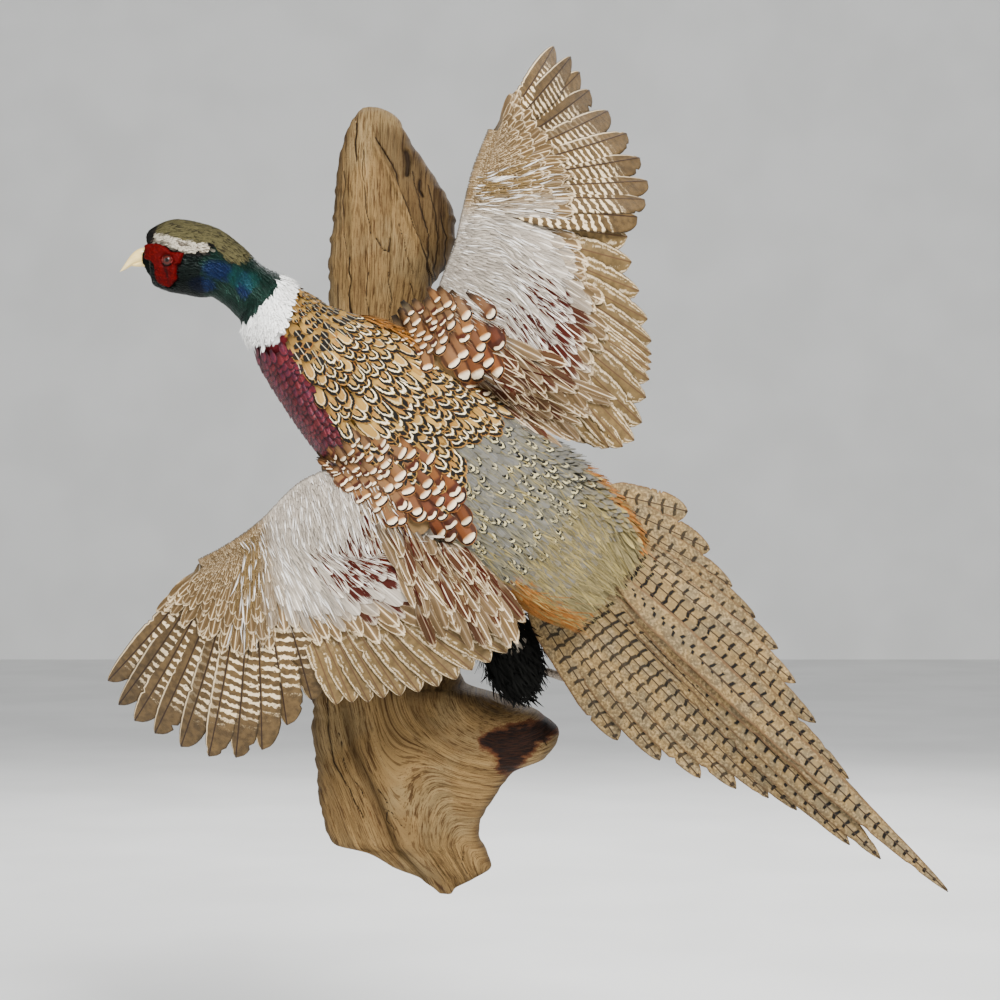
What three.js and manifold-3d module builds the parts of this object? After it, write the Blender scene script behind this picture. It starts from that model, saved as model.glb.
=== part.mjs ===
// Cock ring-necked pheasant, life size, mounted in flight on a piece of driftwood that hangs on a wall.
//
// Millimetres. +X is to the right, +Z is up, and the wall is the plane Y = 0.
// The bird is on the -Y side of it and shows its back to a viewer in front of the wall.
// The origin is on the flat back of the driftwood.

import * as THREE from 'three';
import { mergeVertices } from 'three/addons/utils/BufferGeometryUtils.js';
import Module from 'manifold-3d';

const wasm = await Module();
wasm.setup();

// ---------------------------------------------------------------- driving dimensions

const GAP = 0.3;

// Stations of the body from the bill to the root of the tail. Each row is
// [centre x, y, z, half width, height above centre, depth below centre, direction of the back x, y, z].
const BODY = [
  [-209, -207, 208, 7, 7, 7, 0.1, 0, 1],
  [-204, -206, 206, 11, 15, 14, 0.1, 0, 1],
  [-198, -206, 206, 16, 24, 24, 0.1, 0, 1],
  [-184, -206, 205, 20, 31, 29, 0.1, 0, 1],
  [-167, -206, 203, 21, 31, 30, 0.1, 0, 1],
  [-152, -205, 200, 21, 29, 30, 0.15, 0, 1],
  [-138, -204, 194, 20, 24, 26, 0.4, -0.05, 0.9],
  [-126, -203, 184, 20, 22, 23, 0.5, -0.15, 0.8],
  [-116, -202, 176, 22, 23, 24, 0.5, -0.3, 0.75],
  [-106, -201, 168, 26, 26, 27, 0.5, -0.45, 0.65],
  [-92, -199, 151, 32, 31, 32, 0.42, -0.65, 0.5],
  [-74, -194, 131, 41, 36, 42, 0.35, -0.8, 0.42],
  [-48, -187, 109, 53, 43, 54, 0.25, -0.92, 0.28],
  [-20, -178, 87, 63, 48, 60, 0.18, -0.97, 0.18],
  [24, -168, 52, 66, 50, 62, 0.18, -0.97, 0.18],
  [71, -160, 17, 66, 46, 58, 0.18, -0.97, 0.18],
  [119, -154, -19, 65, 40, 48, 0.18, -0.97, 0.18],
  [158, -149, -52, 60, 29, 36, 0.18, -0.97, 0.18],
  [190, -146, -80, 46, 16, 18, 0.18, -0.97, 0.18],
];
const HEAD_END = 6.4;
const NECK_END = 10.4;
const BODY_END = BODY.length - 1;
const BACK_FLATNESS = 0.8;

const BODY_PARTING = 0.03;

const EYE = { radius: 5.4, height: -5, station: 3, inset: 2.2 };
const WATTLE = { station: 2.85, height: -10, halfLength: 18, halfHeight: 16, halfDepth: 5.5, inset: 2.5 };

// Each half of the bill follows a line of [share of its length, x, y, z] from inside the face to the tip.
const UPPER_BILL = {
  base: 7.2,
  taper: 2.2,
  line: [[0, -196, -206, 206], [0.3, -206, -206.5, 205], [0.65, -217, -207, 202], [1, -227, -208, 195.5]],
};
const LOWER_BILL = {
  base: 4.2,
  taper: 2.4,
  line: [[0, -194, -206, 198.5], [0.35, -204, -206.5, 197.6], [1, -222.5, -207.6, 194.2]],
};
const BILL_HALF_WIDTH = 6;
const BILL_TIP = 0.08;

// Stations of a wing. The first number of a row counts flight feathers from the wing tip:
// 0 is the outermost primary, 9 the innermost primary, 10 the first secondary, 21 the last one.
// lead is the leading edge of the arm, root the line in which the quills are set, tip the feather tips.
const PRIMARIES = 10;
const SECONDARIES = 12;
const WING_END = 26;
const LEFT_WING = {
  lead: [
    [-0.5, -161, -217, -50], [4.5, -134, -224, -36], [9.5, -106, -226, -16], [14, -79, -214, 12],
    [18, -61, -204, 23], [21, -38, -198, 32], [24, -5, -192, 42], [26, 33, -186, 60],
  ],
  root: [
    [-0.5, -156, -216, -56], [4.5, -124, -222, -45], [9.5, -103, -222, -34], [14, -74, -219, -39],
    [18, -40, -212, -47], [21, -12, -208, -47], [24, 30, -202, -30], [26, 55, -196, -8],
  ],
  tip: [
    [-0.5, -254, -131, -147], [1, -242, -122, -180], [3, -210, -122, -205], [5, -161, -135, -224],
    [7, -113, -150, -217], [9, -68, -175, -171], [10, -47, -175, -175], [13, 10, -170, -169],
    [16, 74, -174, -146], [18, 108, -180, -121], [20, 100, -185, -77], [22, 76, -190, -42],
  ],
};
const RIGHT_WING = {
  lead: [
    [-0.5, 83, -206, 313], [4.5, 70, -217, 278], [9.5, 62, -226, 244], [14, 55, -214, 215],
    [18, 47, -203, 196], [21, 40, -194, 178], [24, 29, -184, 149], [26, 16, -178, 128],
  ],
  root: [
    [-0.5, 90, -204, 311], [4.5, 82, -214, 277], [9.5, 76, -222, 244], [14, 93, -218, 212],
    [18, 101, -208, 173], [21, 96, -200, 145], [24, 78, -194, 117], [26, 59, -190, 98],
  ],
  tip: [
    [-0.5, 133, -84, 410], [1, 157, -66, 400], [3, 174, -58, 371], [5, 207, -70, 330],
    [7, 224, -100, 283], [9, 212, -150, 245], [10, 205, -156, 227], [13, 225, -146, 136],
    [16, 223, -142, 102], [18, 211, -142, 52], [20, 180, -148, 46], [22, 134, -158, 71],
  ],
};
const ARM_THICKNESS = [[-0.5, 5], [4.5, 8], [9.5, 12], [14, 15], [18, 19], [22, 24], [26, 28]];
const VANE_ROOT = 4.5;
const VANE_TIP = 1.2;
const WING_BULGE = [[-0.5, 16], [8, 15], [12, 9], [26, 8]];
const PRIMARY_SLOT = 0.14;
const SECONDARY_SLOT = 0.06;
const FAN_PARTING = 0.06;

// Stations of the tail: 0 is the outermost feather on the right, 9 the long middle pair,
// 18 the outermost feather on the left.
const TAIL_END = 18;
const TAIL_MIDDLE = [7.5, 10.5];
const TAIL_SLOT = 0.07;
const TAIL_BULGE = [[-0.5, 5], [18.5, 5]];
const TAIL = {
  root: [
    [0, 180, -136, 7], [4, 178, -143, -17], [9, 171, -150, -49], [14, 145, -143, -70], [18, 117, -136, -84],
  ],
  tip: [
    [0, 259, -112, -10], [2, 298, -112, -76], [4, 338, -114, -131], [6, 371, -116, -196],
    [7.5, 417, -116, -271], [8.5, 458, -114, -315], [9, 488, -112, -345], [9.5, 448, -113, -322],
    [10.5, 414, -115, -312], [12, 378, -113, -286],
    [14, 330, -111, -263], [16, 270, -108, -246], [18, 197, -106, -213],
  ],
};

// Legs, folded back below the tail. The black feathers of the thigh run from hip to knee, and
// the bare shank runs from the ankle, inside them, to the foot.
const LEG = {
  thigh: 28, thighFlatness: 0.75, shankInThigh: 7, shank: 4.2, toe: 3.4, claw: 11, clawCurl: 3, clawHalf: 1.4,
};
const TOES = [
  { angle: -0.42, length: 44, curl: 6 },
  { angle: 0, length: 51, curl: 6 },
  { angle: 0.42, length: 44, curl: 6 },
  { angle: Math.PI, length: 19, curl: 10 },
];
const LEFT_LEG = {
  hip: [97, -125, -94], knee: [111, -86, -178], ankle: [126, -95, -150], foot: [182, -82, -168],
};
const RIGHT_LEG = {
  hip: [152, -108, -12], knee: [208, -82, -72], ankle: [196, -88, -58], foot: [248, -76, -108],
};

// Driftwood, from its top to its bottom: [height z, left edge x, right edge x, thickness].
const DRIFTWOOD = [
  [363, -34, -18, 16], [355, -41, -3, 30], [340, -49, 6, 42], [320, -54, 18, 52],
  [295, -58, 35, 60], [270, -60, 49, 64], [245, -63, 52, 66], [220, -65, 45, 68],
  [190, -65, 29, 70], [120, -67, 36, 72], [40, -71, 52, 73], [-40, -74, 62, 73],
  [-120, -78, 60, 72], [-165, -79, 58, 70], [-180, -80, 92, 68], [-193, -80, 124, 66],
  [-207, -81, 143, 64], [-220, -80, 147, 62], [-238, -78, 135, 58], [-252, -76, 105, 55],
  [-275, -74, 87, 50], [-297, -70, 75, 45], [-312, -66, 74, 40], [-321, -56, 77, 36],
  [-326, -26, 81, 33], [-340, -5, 84, 28], [-349, 16, 72, 22], [-358, 28, 54, 16], [-365, 37, 48, 10],
];
const WOOD_AROUND = 15;
const WOOD_FRONT = 13;
const WOOD_ROWS = 30;

const ROD = { radius: 3, inWood: 45, inBody: 125 };
const ROD_PLACES = { upper: [-2, 70], lower: [34, 40] };
const HANGER = { centreZ: 215, length: 64, height: 16, plate: 1.4, recess: 3.2 };

// ---------------------------------------------------------------- materials

// Colour, roughness and metalness of each material.
const MATERIALS = {
  olive_head: [0x5f6152, 0.8, 0],
  dark_green_neck: [0x12302c, 0.4, 0.1],
  golden_body: [0xa9793f, 0.8, 0],
  pale_bill: [0xe0d0a0, 0.4, 0],
  dark_eye: [0x1b0f08, 0.05, 0],
  red_wattle: [0xb01420, 0.7, 0],
  grey_coverts: [0xb3b0ac, 0.8, 0],
  brown_flight: [0x9c8262, 0.8, 0],
  barred_tail: [0xa08a62, 0.8, 0],
  black_down: [0x15120f, 0.95, 0],
  horn_foot: [0x8c8370, 0.6, 0],
  dark_claw: [0x3a322a, 0.4, 0],
  driftwood: [0x8b6337, 0.8, 0],
  steel: [0xb8bbbe, 0.35, 1],
};

function material(name) {
  const [color, roughness, metalness] = MATERIALS[name];
  return new THREE.MeshStandardMaterial({ color, roughness, metalness });
}

// ---------------------------------------------------------------- curves and solids

/** A smooth curve through rows of [key, values...], as a function of the key. */
function smooth(rows) {
  const last = rows.length - 1;
  const slope = (i, c) => {
    const a = rows[Math.max(i - 1, 0)];
    const b = rows[Math.min(i + 1, last)];
    return (b[c] - a[c]) / (b[0] - a[0]);
  };
  return (key) => {
    let i = 0;
    while (i < last - 1 && key > rows[i + 1][0]) i += 1;
    const span = rows[i + 1][0] - rows[i][0];
    const t = (key - rows[i][0]) / span;
    const values = [];
    for (let c = 1; c < rows[0].length; c += 1) {
      const rise = rows[i + 1][c] - rows[i][c];
      const a = slope(i, c) * span - rise;
      const b = -slope(i + 1, c) * span + rise;
      values.push(rows[i][c] + t * rise + t * (1 - t) * (a * (1 - t) + b * t));
    }
    return values;
  };
}

const vector = (values) => new THREE.Vector3(values[0], values[1], values[2]);

function signedVolume(geometry) {
  const position = geometry.attributes.position;
  const index = geometry.index.array;
  const [a, b, c] = [new THREE.Vector3(), new THREE.Vector3(), new THREE.Vector3()];
  let volume = 0;
  for (let i = 0; i < index.length; i += 3) {
    a.fromBufferAttribute(position, index[i]);
    b.fromBufferAttribute(position, index[i + 1]);
    c.fromBufferAttribute(position, index[i + 2]);
    volume += a.dot(b.cross(c)) / 6;
  }
  return volume;
}

/** Moves each vertex of a closed unit shape to place(x, y, z), and keeps its faces pointing out. */
function shaped(unitGeometry, place) {
  const bare = unitGeometry.clone();
  bare.deleteAttribute('normal');
  bare.deleteAttribute('uv');
  const geometry = mergeVertices(bare, 1e-5);
  const position = geometry.attributes.position;
  for (let i = 0; i < position.count; i += 1) {
    const point = place(position.getX(i), position.getY(i), position.getZ(i));
    position.setXYZ(i, point.x, point.y, point.z);
  }
  if (signedVolume(geometry) < 0) {
    const index = geometry.index.array;
    for (let i = 0; i < index.length; i += 3) {
      [index[i], index[i + 1]] = [index[i + 1], index[i]];
    }
  }
  return geometry;
}

function toSolid(geometry) {
  return new wasm.Manifold(new wasm.Mesh({
    numProp: 3,
    vertProperties: Float32Array.from(geometry.attributes.position.array),
    triVerts: Uint32Array.from(geometry.index.array),
  }));
}

function toGeometry(solid) {
  const mesh = solid.getMesh();
  const geometry = new THREE.BufferGeometry();
  geometry.setAttribute('position', new THREE.BufferAttribute(Float32Array.from(mesh.vertProperties), 3));
  geometry.setIndex(new THREE.BufferAttribute(Uint32Array.from(mesh.triVerts), 1));
  return geometry;
}

/** Takes the tools away from the geometry and keeps the largest body that is left. */
function cut(geometry, ...tools) {
  let solid = toSolid(geometry);
  for (const tool of tools) solid = solid.subtract(toSolid(tool));
  const bodies = solid.decompose();
  bodies.sort((a, b) => b.volume() - a.volume());
  return toGeometry(bodies[0]);
}

function joined(...geometries) {
  return toGeometry(geometries.map(toSolid).reduce((all, one) => all.add(one)));
}

const group = new THREE.Group();

function addNode(name, geometry, materialName) {
  const mesh = new THREE.Mesh(geometry, material(materialName));
  mesh.name = name;
  geometry.computeVertexNormals();
  group.add(mesh);
  return mesh;
}

// ---------------------------------------------------------------- body

const bodyCurve = smooth(BODY.map((row, i) => [i, ...row]));

/** Centre, size and axes of the body at a station. */
function bodyStation(key) {
  const values = bodyCurve(key);
  const centre = vector(values);
  const along = vector(bodyCurve(Math.min(key + 0.05, BODY_END)));
  along.sub(vector(bodyCurve(Math.max(key - 0.05, 0)))).normalize();
  const back = new THREE.Vector3(values[6], values[7], values[8]);
  back.addScaledVector(along, -back.dot(along)).normalize();
  const side = new THREE.Vector3().crossVectors(back, along).normalize();
  return { centre, along, back, side, width: values[3], above: values[4], below: values[5] };
}

/** A point on the body. side and up are -1 to 1, grow is how far outside the body the point lies. */
function bodyPoint(key, side, up, grow = 0) {
  const at = bodyStation(key);
  const height = up > 0 ? at.above : at.below;
  const lift = up > 0 ? up ** BACK_FLATNESS : up;
  return at.centre.clone()
    .addScaledVector(at.side, side * (at.width + grow))
    .addScaledVector(at.back, lift * (height + grow));
}

/** A length of the body between two stations. grow makes it larger all over, as a cutting tool. */
function bodyPiece(from, to, rings, around, grow = 0) {
  return shaped(new THREE.CylinderGeometry(1, 1, 1, around, rings), (x, y, z) => {
    const t = 0.5 - y;
    const key = THREE.MathUtils.lerp(from, to, t);
    const endShift = t < 1e-6 ? -grow : Number(t > 1 - 1e-6) * grow;
    return bodyPoint(key, x, z, grow).addScaledVector(bodyStation(key).along, endShift);
  });
}

/** A rounded spindle between two points. */
function spindle(start, end, halfWidth, halfHeight, upHint, around = 10, rings = 8) {
  const axis = end.clone().sub(start);
  const along = axis.clone().normalize();
  const up = upHint.clone().addScaledVector(along, -upHint.dot(along)).normalize();
  const side = new THREE.Vector3().crossVectors(up, along);
  return shaped(new THREE.SphereGeometry(1, around, rings), (x, y, z) => start.clone()
    .addScaledVector(axis, 0.5 + 0.5 * y)
    .addScaledVector(side, x * halfWidth)
    .addScaledVector(up, z * halfHeight));
}

function addHeadAndTrunk(rodTools) {
  const tools = [billHalf(UPPER_BILL, GAP), billHalf(LOWER_BILL, GAP)];
  for (const side of ['left', 'right']) {
    const eyeBall = (grow) => shaped(new THREE.SphereGeometry(EYE.radius + grow, 12, 8), (x, y, z) => (
      new THREE.Vector3(x, y, z).add(cheekPoint(side, EYE).centre)
    ));
    const patch = (grow) => {
      const { centre, outward, at } = cheekPoint(side, WATTLE);
      return shaped(new THREE.SphereGeometry(1, 12, 7), (x, y, z) => centre.clone()
        .addScaledVector(at.along, x * (WATTLE.halfLength + grow))
        .addScaledVector(at.back, z * (WATTLE.halfHeight + grow))
        .addScaledVector(outward, y * (WATTLE.halfDepth + grow)));
    };
    addNode(`eye_${side}`, eyeBall(0), 'dark_eye');
    addNode(`wattle_${side}`, cut(patch(0), eyeBall(GAP)), 'red_wattle');
    tools.push(eyeBall(GAP), patch(GAP));
  }
  addNode('bill_upper', billHalf(UPPER_BILL, 0), 'pale_bill');
  addNode('bill_lower', cut(billHalf(LOWER_BILL, 0), billHalf(UPPER_BILL, GAP)), 'pale_bill');
  addNode('head', cut(bodyPiece(0, HEAD_END, 11, 16), ...tools), 'olive_head');
  addNode('neck', bodyPiece(HEAD_END + BODY_PARTING, NECK_END, 6, 18), 'dark_green_neck');
  addNode('trunk', cut(bodyPiece(NECK_END + BODY_PARTING, BODY_END, 12, 20), ...rodTools), 'golden_body');
}

/** A place on the cheek at a station and height, with the direction that points out of the head. */
function cheekPoint(side, spec) {
  const at = bodyStation(spec.station);
  const towardWall = at.side.clone().multiplyScalar(Math.sign(at.side.y));
  const outward = side === 'left' ? towardWall.negate() : towardWall;
  const rise = spec.height / (spec.height > 0 ? at.above : at.below);
  const reach = at.width * Math.sqrt(1 - rise * rise) - spec.inset;
  const centre = at.centre.clone().addScaledVector(at.back, spec.height).addScaledVector(outward, reach);
  return { centre, outward, at };
}

/** One half of the bill. It starts inside the face and curves down to the tip. */
function billHalf(spec, grow) {
  const line = smooth(spec.line);
  return shaped(new THREE.CylinderGeometry(1, 1, 1, 10, 6), (x, y, z) => {
    const t = 0.5 - y;
    const size = Math.max(1 - t ** spec.taper, BILL_TIP);
    const centre = vector(line(t));
    return new THREE.Vector3(
      centre.x + (0.5 - t) * 2 * grow,
      centre.y + x * (BILL_HALF_WIDTH * size + grow),
      centre.z + z * (spec.base * size + grow),
    );
  });
}

// ---------------------------------------------------------------- wings and tail

/** A thin blade over a surface of (u, v), with u and v from 0 to 1 and a thickness at each point. */
function blade(columns, rows, surface, thickness) {
  return shaped(new THREE.BoxGeometry(1, 1, 1, columns, rows, 1), (x, y, z) => {
    const u = x + 0.5;
    const v = y + 0.5;
    const step = 0.004;
    const point = surface(u, v);
    const acrossU = surface(u + step, v).sub(surface(u - step, v));
    const alongV = surface(u, v + step).sub(surface(u, v - step));
    const normal = acrossU.cross(alongV).normalize();
    return point.addScaledVector(normal, z * thickness(u, v));
  });
}

/** How much of a feather's length is missing at this key, between one tip and the next. */
function slotAt(key, depth) {
  const offset = Math.abs(key - Math.round(key)) * 2;
  return depth * offset * offset;
}

/** A fan of flight feathers from their roots to their scalloped tips. */
function fan(curves, from, to, perFeather, rows, slot) {
  const surface = (u, v) => {
    const key = THREE.MathUtils.lerp(from, to, u);
    const root = vector(curves.root(key));
    const tip = vector(curves.tip(key));
    const reach = v * (1 - slotAt(key, slot));
    const point = root.lerp(tip, reach);
    point.y -= curves.bulge(key)[0] * Math.sin(Math.PI * reach);
    return point;
  };
  const columns = Math.round((to - from) * perFeather);
  return blade(columns, rows, surface, (u, v) => THREE.MathUtils.lerp(VANE_ROOT, VANE_TIP, v ** 0.6));
}

function addWing(side, spec, trunkTool) {
  const curves = {
    lead: smooth(spec.lead),
    root: smooth(spec.root),
    tip: smooth(spec.tip),
    bulge: smooth(WING_BULGE),
  };
  const thickness = smooth(ARM_THICKNESS);
  const arm = (grow) => {
    const outerEnd = -0.5 - grow / 2;
    const surface = (u, v) => {
      const key = THREE.MathUtils.lerp(outerEnd, WING_END, u);
      const lead = vector(curves.lead(key));
      const root = vector(curves.root(key));
      const width = lead.distanceTo(root);
      const point = lead.lerp(root, v * (1 + grow / width));
      point.y -= 0.06 * width * Math.sin(Math.PI * v);
      return point;
    };
    return blade(13, 4, surface, (u, v) => {
      const key = THREE.MathUtils.lerp(outerEnd, WING_END, u);
      const section = 0.3 + 0.7 * Math.sin(Math.PI * Math.min(0.04 + v * 1.05, 1) ** 0.75);
      return Math.max(thickness(key)[0] * section, VANE_ROOT) + 2 * grow;
    });
  };
  const border = PRIMARIES - 0.5;
  const end = PRIMARIES + SECONDARIES - 0.5;
  const primaries = fan(curves, -0.5, border - FAN_PARTING, 2, 4, PRIMARY_SLOT);
  const secondaries = fan(curves, border + FAN_PARTING, end, 2, 3, SECONDARY_SLOT);
  addNode(`wing_${side}_arm`, cut(arm(0), trunkTool), 'grey_coverts');
  addNode(`wing_${side}_primaries`, cut(primaries, arm(GAP)), 'brown_flight');
  addNode(`wing_${side}_secondaries`, cut(secondaries, arm(GAP), trunkTool), 'brown_flight');
}

function addTail(trunkTool) {
  const curves = { root: smooth(TAIL.root), tip: smooth(TAIL.tip), bulge: smooth(TAIL_BULGE) };
  const borders = [-0.5, TAIL_MIDDLE[0], TAIL_MIDDLE[1], TAIL_END + 0.5];
  ['right', 'centre', 'left'].forEach((name, i) => {
    const from = borders[i] + (i > 0 ? FAN_PARTING : 0);
    const to = borders[i + 1] - (i < 2 ? FAN_PARTING : 0);
    const feathers = fan(curves, from, to, 2, 4, TAIL_SLOT);
    addNode(`tail_${name}`, cut(feathers, trunkTool), 'barred_tail');
  });
}

// ---------------------------------------------------------------- legs

function addLeg(side, spec, trunkTool) {
  const hip = vector(spec.hip);
  const knee = vector(spec.knee);
  const ankle = vector(spec.ankle);
  const foot = vector(spec.foot);
  const towardWall = new THREE.Vector3(0, 1, 0);
  const shank = foot.clone().sub(ankle).normalize();
  const across = new THREE.Vector3().crossVectors(shank, towardWall).normalize();
  const thigh = (grow) => (
    spindle(hip, knee, LEG.thigh + grow, LEG.thigh * LEG.thighFlatness + grow, towardWall, 12, 8)
  );
  const start = ankle.clone().addScaledVector(shank, -LEG.shankInThigh);
  const end = foot.clone().addScaledVector(shank, LEG.toe);
  const pieces = [spindle(start, end, LEG.shank, LEG.shank, towardWall, 8, 6)];
  TOES.forEach((toe, i) => {
    const direction = shank.clone().multiplyScalar(Math.cos(toe.angle));
    direction.addScaledVector(across, Math.sin(toe.angle));
    const tip = foot.clone().addScaledVector(direction, toe.length).addScaledVector(towardWall, toe.curl);
    pieces.push(spindle(foot, tip, LEG.toe, LEG.toe, towardWall, 6, 5));
    const clawStart = tip.clone().addScaledVector(direction, GAP);
    const clawEnd = tip.clone().addScaledVector(direction, LEG.claw);
    clawEnd.addScaledVector(towardWall, LEG.clawCurl);
    const claw = spindle(clawStart, clawEnd, LEG.clawHalf, LEG.clawHalf, towardWall, 6, 4);
    addNode(`claw_${side}_${i + 1}`, claw, 'dark_claw');
  });
  addNode(`thigh_${side}`, cut(thigh(0), trunkTool), 'black_down');
  addNode(`foot_${side}`, cut(joined(...pieces), thigh(GAP), trunkTool), 'horn_foot');
}

// ---------------------------------------------------------------- driftwood and fixings

const woodCurve = smooth(DRIFTWOOD.map((row, i) => [i, ...row]));

/** A point on the driftwood: key runs down the rows, step runs round the section from the left edge. */
function woodPoint(key, step) {
  const [z, left, right, thickness] = woodCurve(key);
  const middle = (left + right) / 2;
  const half = (right - left) / 2;
  if (step > WOOD_FRONT) {
    const back = 1 - 2 * (step - WOOD_FRONT) / (WOOD_AROUND - WOOD_FRONT);
    return new THREE.Vector3(middle + half * back, 0, z);
  }
  const angle = Math.PI * step / WOOD_FRONT;
  const dome = Math.max(Math.sin(angle), 0) ** 0.55;
  const ridges = 1 + 0.07 * Math.sin(angle * 5 + key * 0.35) * Math.sin(angle);
  return new THREE.Vector3(middle - half * Math.cos(angle), -thickness * dome * ridges, z);
}

function rod(place, grow) {
  const length = ROD.inBody - ROD.inWood + 2 * grow;
  return shaped(new THREE.CylinderGeometry(ROD.radius + grow, ROD.radius + grow, length, 12), (x, y, z) => (
    new THREE.Vector3(place[0] + x, y - (ROD.inBody + ROD.inWood) / 2, place[1] + z)
  ));
}

function addDriftwood(rodTools) {
  const unit = new THREE.CylinderGeometry(1, 1, 1, WOOD_AROUND, WOOD_ROWS);
  const wood = shaped(unit, (x, y, z) => {
    const key = (0.5 - y) * (DRIFTWOOD.length - 1);
    if (Math.hypot(x, z) < 0.5) {
      const [height, left, right, thickness] = woodCurve(key);
      return new THREE.Vector3((left + right) / 2, -thickness / 2, height);
    }
    const turn = (Math.atan2(x, z) / (2 * Math.PI) + 1) % 1;
    return woodPoint(key, Math.round(turn * WOOD_AROUND) % WOOD_AROUND);
  });
  const block = (width, depth, height, centreY) => shaped(
    new THREE.BoxGeometry(width, depth, height),
    (x, y, z) => new THREE.Vector3(x - 5, y + centreY, z + HANGER.centreZ),
  );
  const margin = 4;
  const recess = block(HANGER.length + margin, 2 * HANGER.recess, HANGER.height + margin, 0);
  addNode('driftwood', cut(wood, recess, ...rodTools), 'driftwood');
  const plateY = -HANGER.recess + GAP + HANGER.plate / 2;
  const plate = block(HANGER.length, HANGER.plate, HANGER.height, plateY);
  const window = block(HANGER.length * 0.6, 2 * HANGER.plate, HANGER.height * 0.4, plateY);
  addNode('hanger', cut(plate, window), 'steel');
}

// ---------------------------------------------------------------- the whole mount

const rodTools = Object.values(ROD_PLACES).map((place) => rod(place, GAP));
const trunkTool = bodyPiece(NECK_END, BODY_END, 12, 20, GAP);

addHeadAndTrunk(rodTools);
addWing('left', LEFT_WING, trunkTool);
addWing('right', RIGHT_WING, trunkTool);
addTail(trunkTool);
addLeg('left', LEFT_LEG, trunkTool);
addLeg('right', RIGHT_LEG, trunkTool);
addDriftwood(rodTools);
for (const [name, place] of Object.entries(ROD_PLACES)) {
  addNode(`mount_rod_${name}`, rod(place, 0), 'steel');
}

export default group;
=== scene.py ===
"""A cock pheasant in flight on a driftwood wall mount: its skin, plumage, soft parts and wood."""

import math

import bpy
import numpy as np
from bpy.props import FloatProperty, FloatVectorProperty, PointerProperty
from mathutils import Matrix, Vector
from mathutils.bvhtree import BVHTree
from mathutils.kdtree import KDTree


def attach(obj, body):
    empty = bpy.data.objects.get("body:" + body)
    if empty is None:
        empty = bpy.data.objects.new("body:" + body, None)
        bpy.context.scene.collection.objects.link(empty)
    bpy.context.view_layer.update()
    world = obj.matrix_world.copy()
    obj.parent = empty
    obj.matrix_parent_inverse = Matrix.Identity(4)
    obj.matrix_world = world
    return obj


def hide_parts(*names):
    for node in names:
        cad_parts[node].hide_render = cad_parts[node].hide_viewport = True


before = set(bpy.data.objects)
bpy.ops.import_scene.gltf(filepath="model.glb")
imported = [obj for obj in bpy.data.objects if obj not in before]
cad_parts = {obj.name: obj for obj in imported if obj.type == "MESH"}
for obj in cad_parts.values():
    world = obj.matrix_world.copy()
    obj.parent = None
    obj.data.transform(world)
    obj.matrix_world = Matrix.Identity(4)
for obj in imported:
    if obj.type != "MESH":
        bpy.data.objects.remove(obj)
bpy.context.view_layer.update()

bl_info = {
    "name": "Pheasant wall mount",
    "version": (1, 0, 0),
    "blender": (4, 5, 0),
    "location": "View3D > Sidebar > Pheasant",
    "description": "Dresses the mounted pheasant in skin, feathers and driftwood",
    "category": "Object",
}

MM = 0.001
LEFT, RIGHT = "left", "right"

# Stations of the body in mm: centre, half width, height above and below the centre, direction of the back.
BODY = [
    (-209, -207, 208, 7, 7, 7, 0.1, 0, 1), (-204, -206, 206, 11, 15, 14, 0.1, 0, 1),
    (-198, -206, 206, 16, 24, 24, 0.1, 0, 1), (-184, -206, 205, 20, 31, 29, 0.1, 0, 1),
    (-167, -206, 203, 21, 31, 30, 0.1, 0, 1), (-152, -205, 200, 21, 29, 30, 0.15, 0, 1),
    (-138, -204, 194, 20, 24, 26, 0.4, -0.05, 0.9), (-126, -203, 184, 20, 22, 23, 0.5, -0.15, 0.8),
    (-116, -202, 176, 22, 23, 24, 0.5, -0.3, 0.75), (-106, -201, 168, 26, 26, 27, 0.5, -0.45, 0.65),
    (-92, -199, 151, 32, 31, 32, 0.42, -0.65, 0.5), (-74, -194, 131, 41, 36, 42, 0.35, -0.8, 0.42),
    (-48, -187, 109, 53, 43, 54, 0.25, -0.92, 0.28), (-20, -178, 87, 63, 48, 60, 0.18, -0.97, 0.18),
    (24, -168, 52, 66, 50, 62, 0.18, -0.97, 0.18), (71, -160, 17, 66, 46, 58, 0.18, -0.97, 0.18),
    (119, -154, -19, 65, 40, 48, 0.18, -0.97, 0.18), (158, -149, -52, 60, 29, 36, 0.18, -0.97, 0.18),
    (190, -146, -80, 46, 16, 18, 0.18, -0.97, 0.18), (218, -143, -108, 40, 10, 10, 0.18, -0.97, 0.18),
    (248, -141, -137, 33, 7, 5, 0.18, -0.97, 0.18),
]
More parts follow.
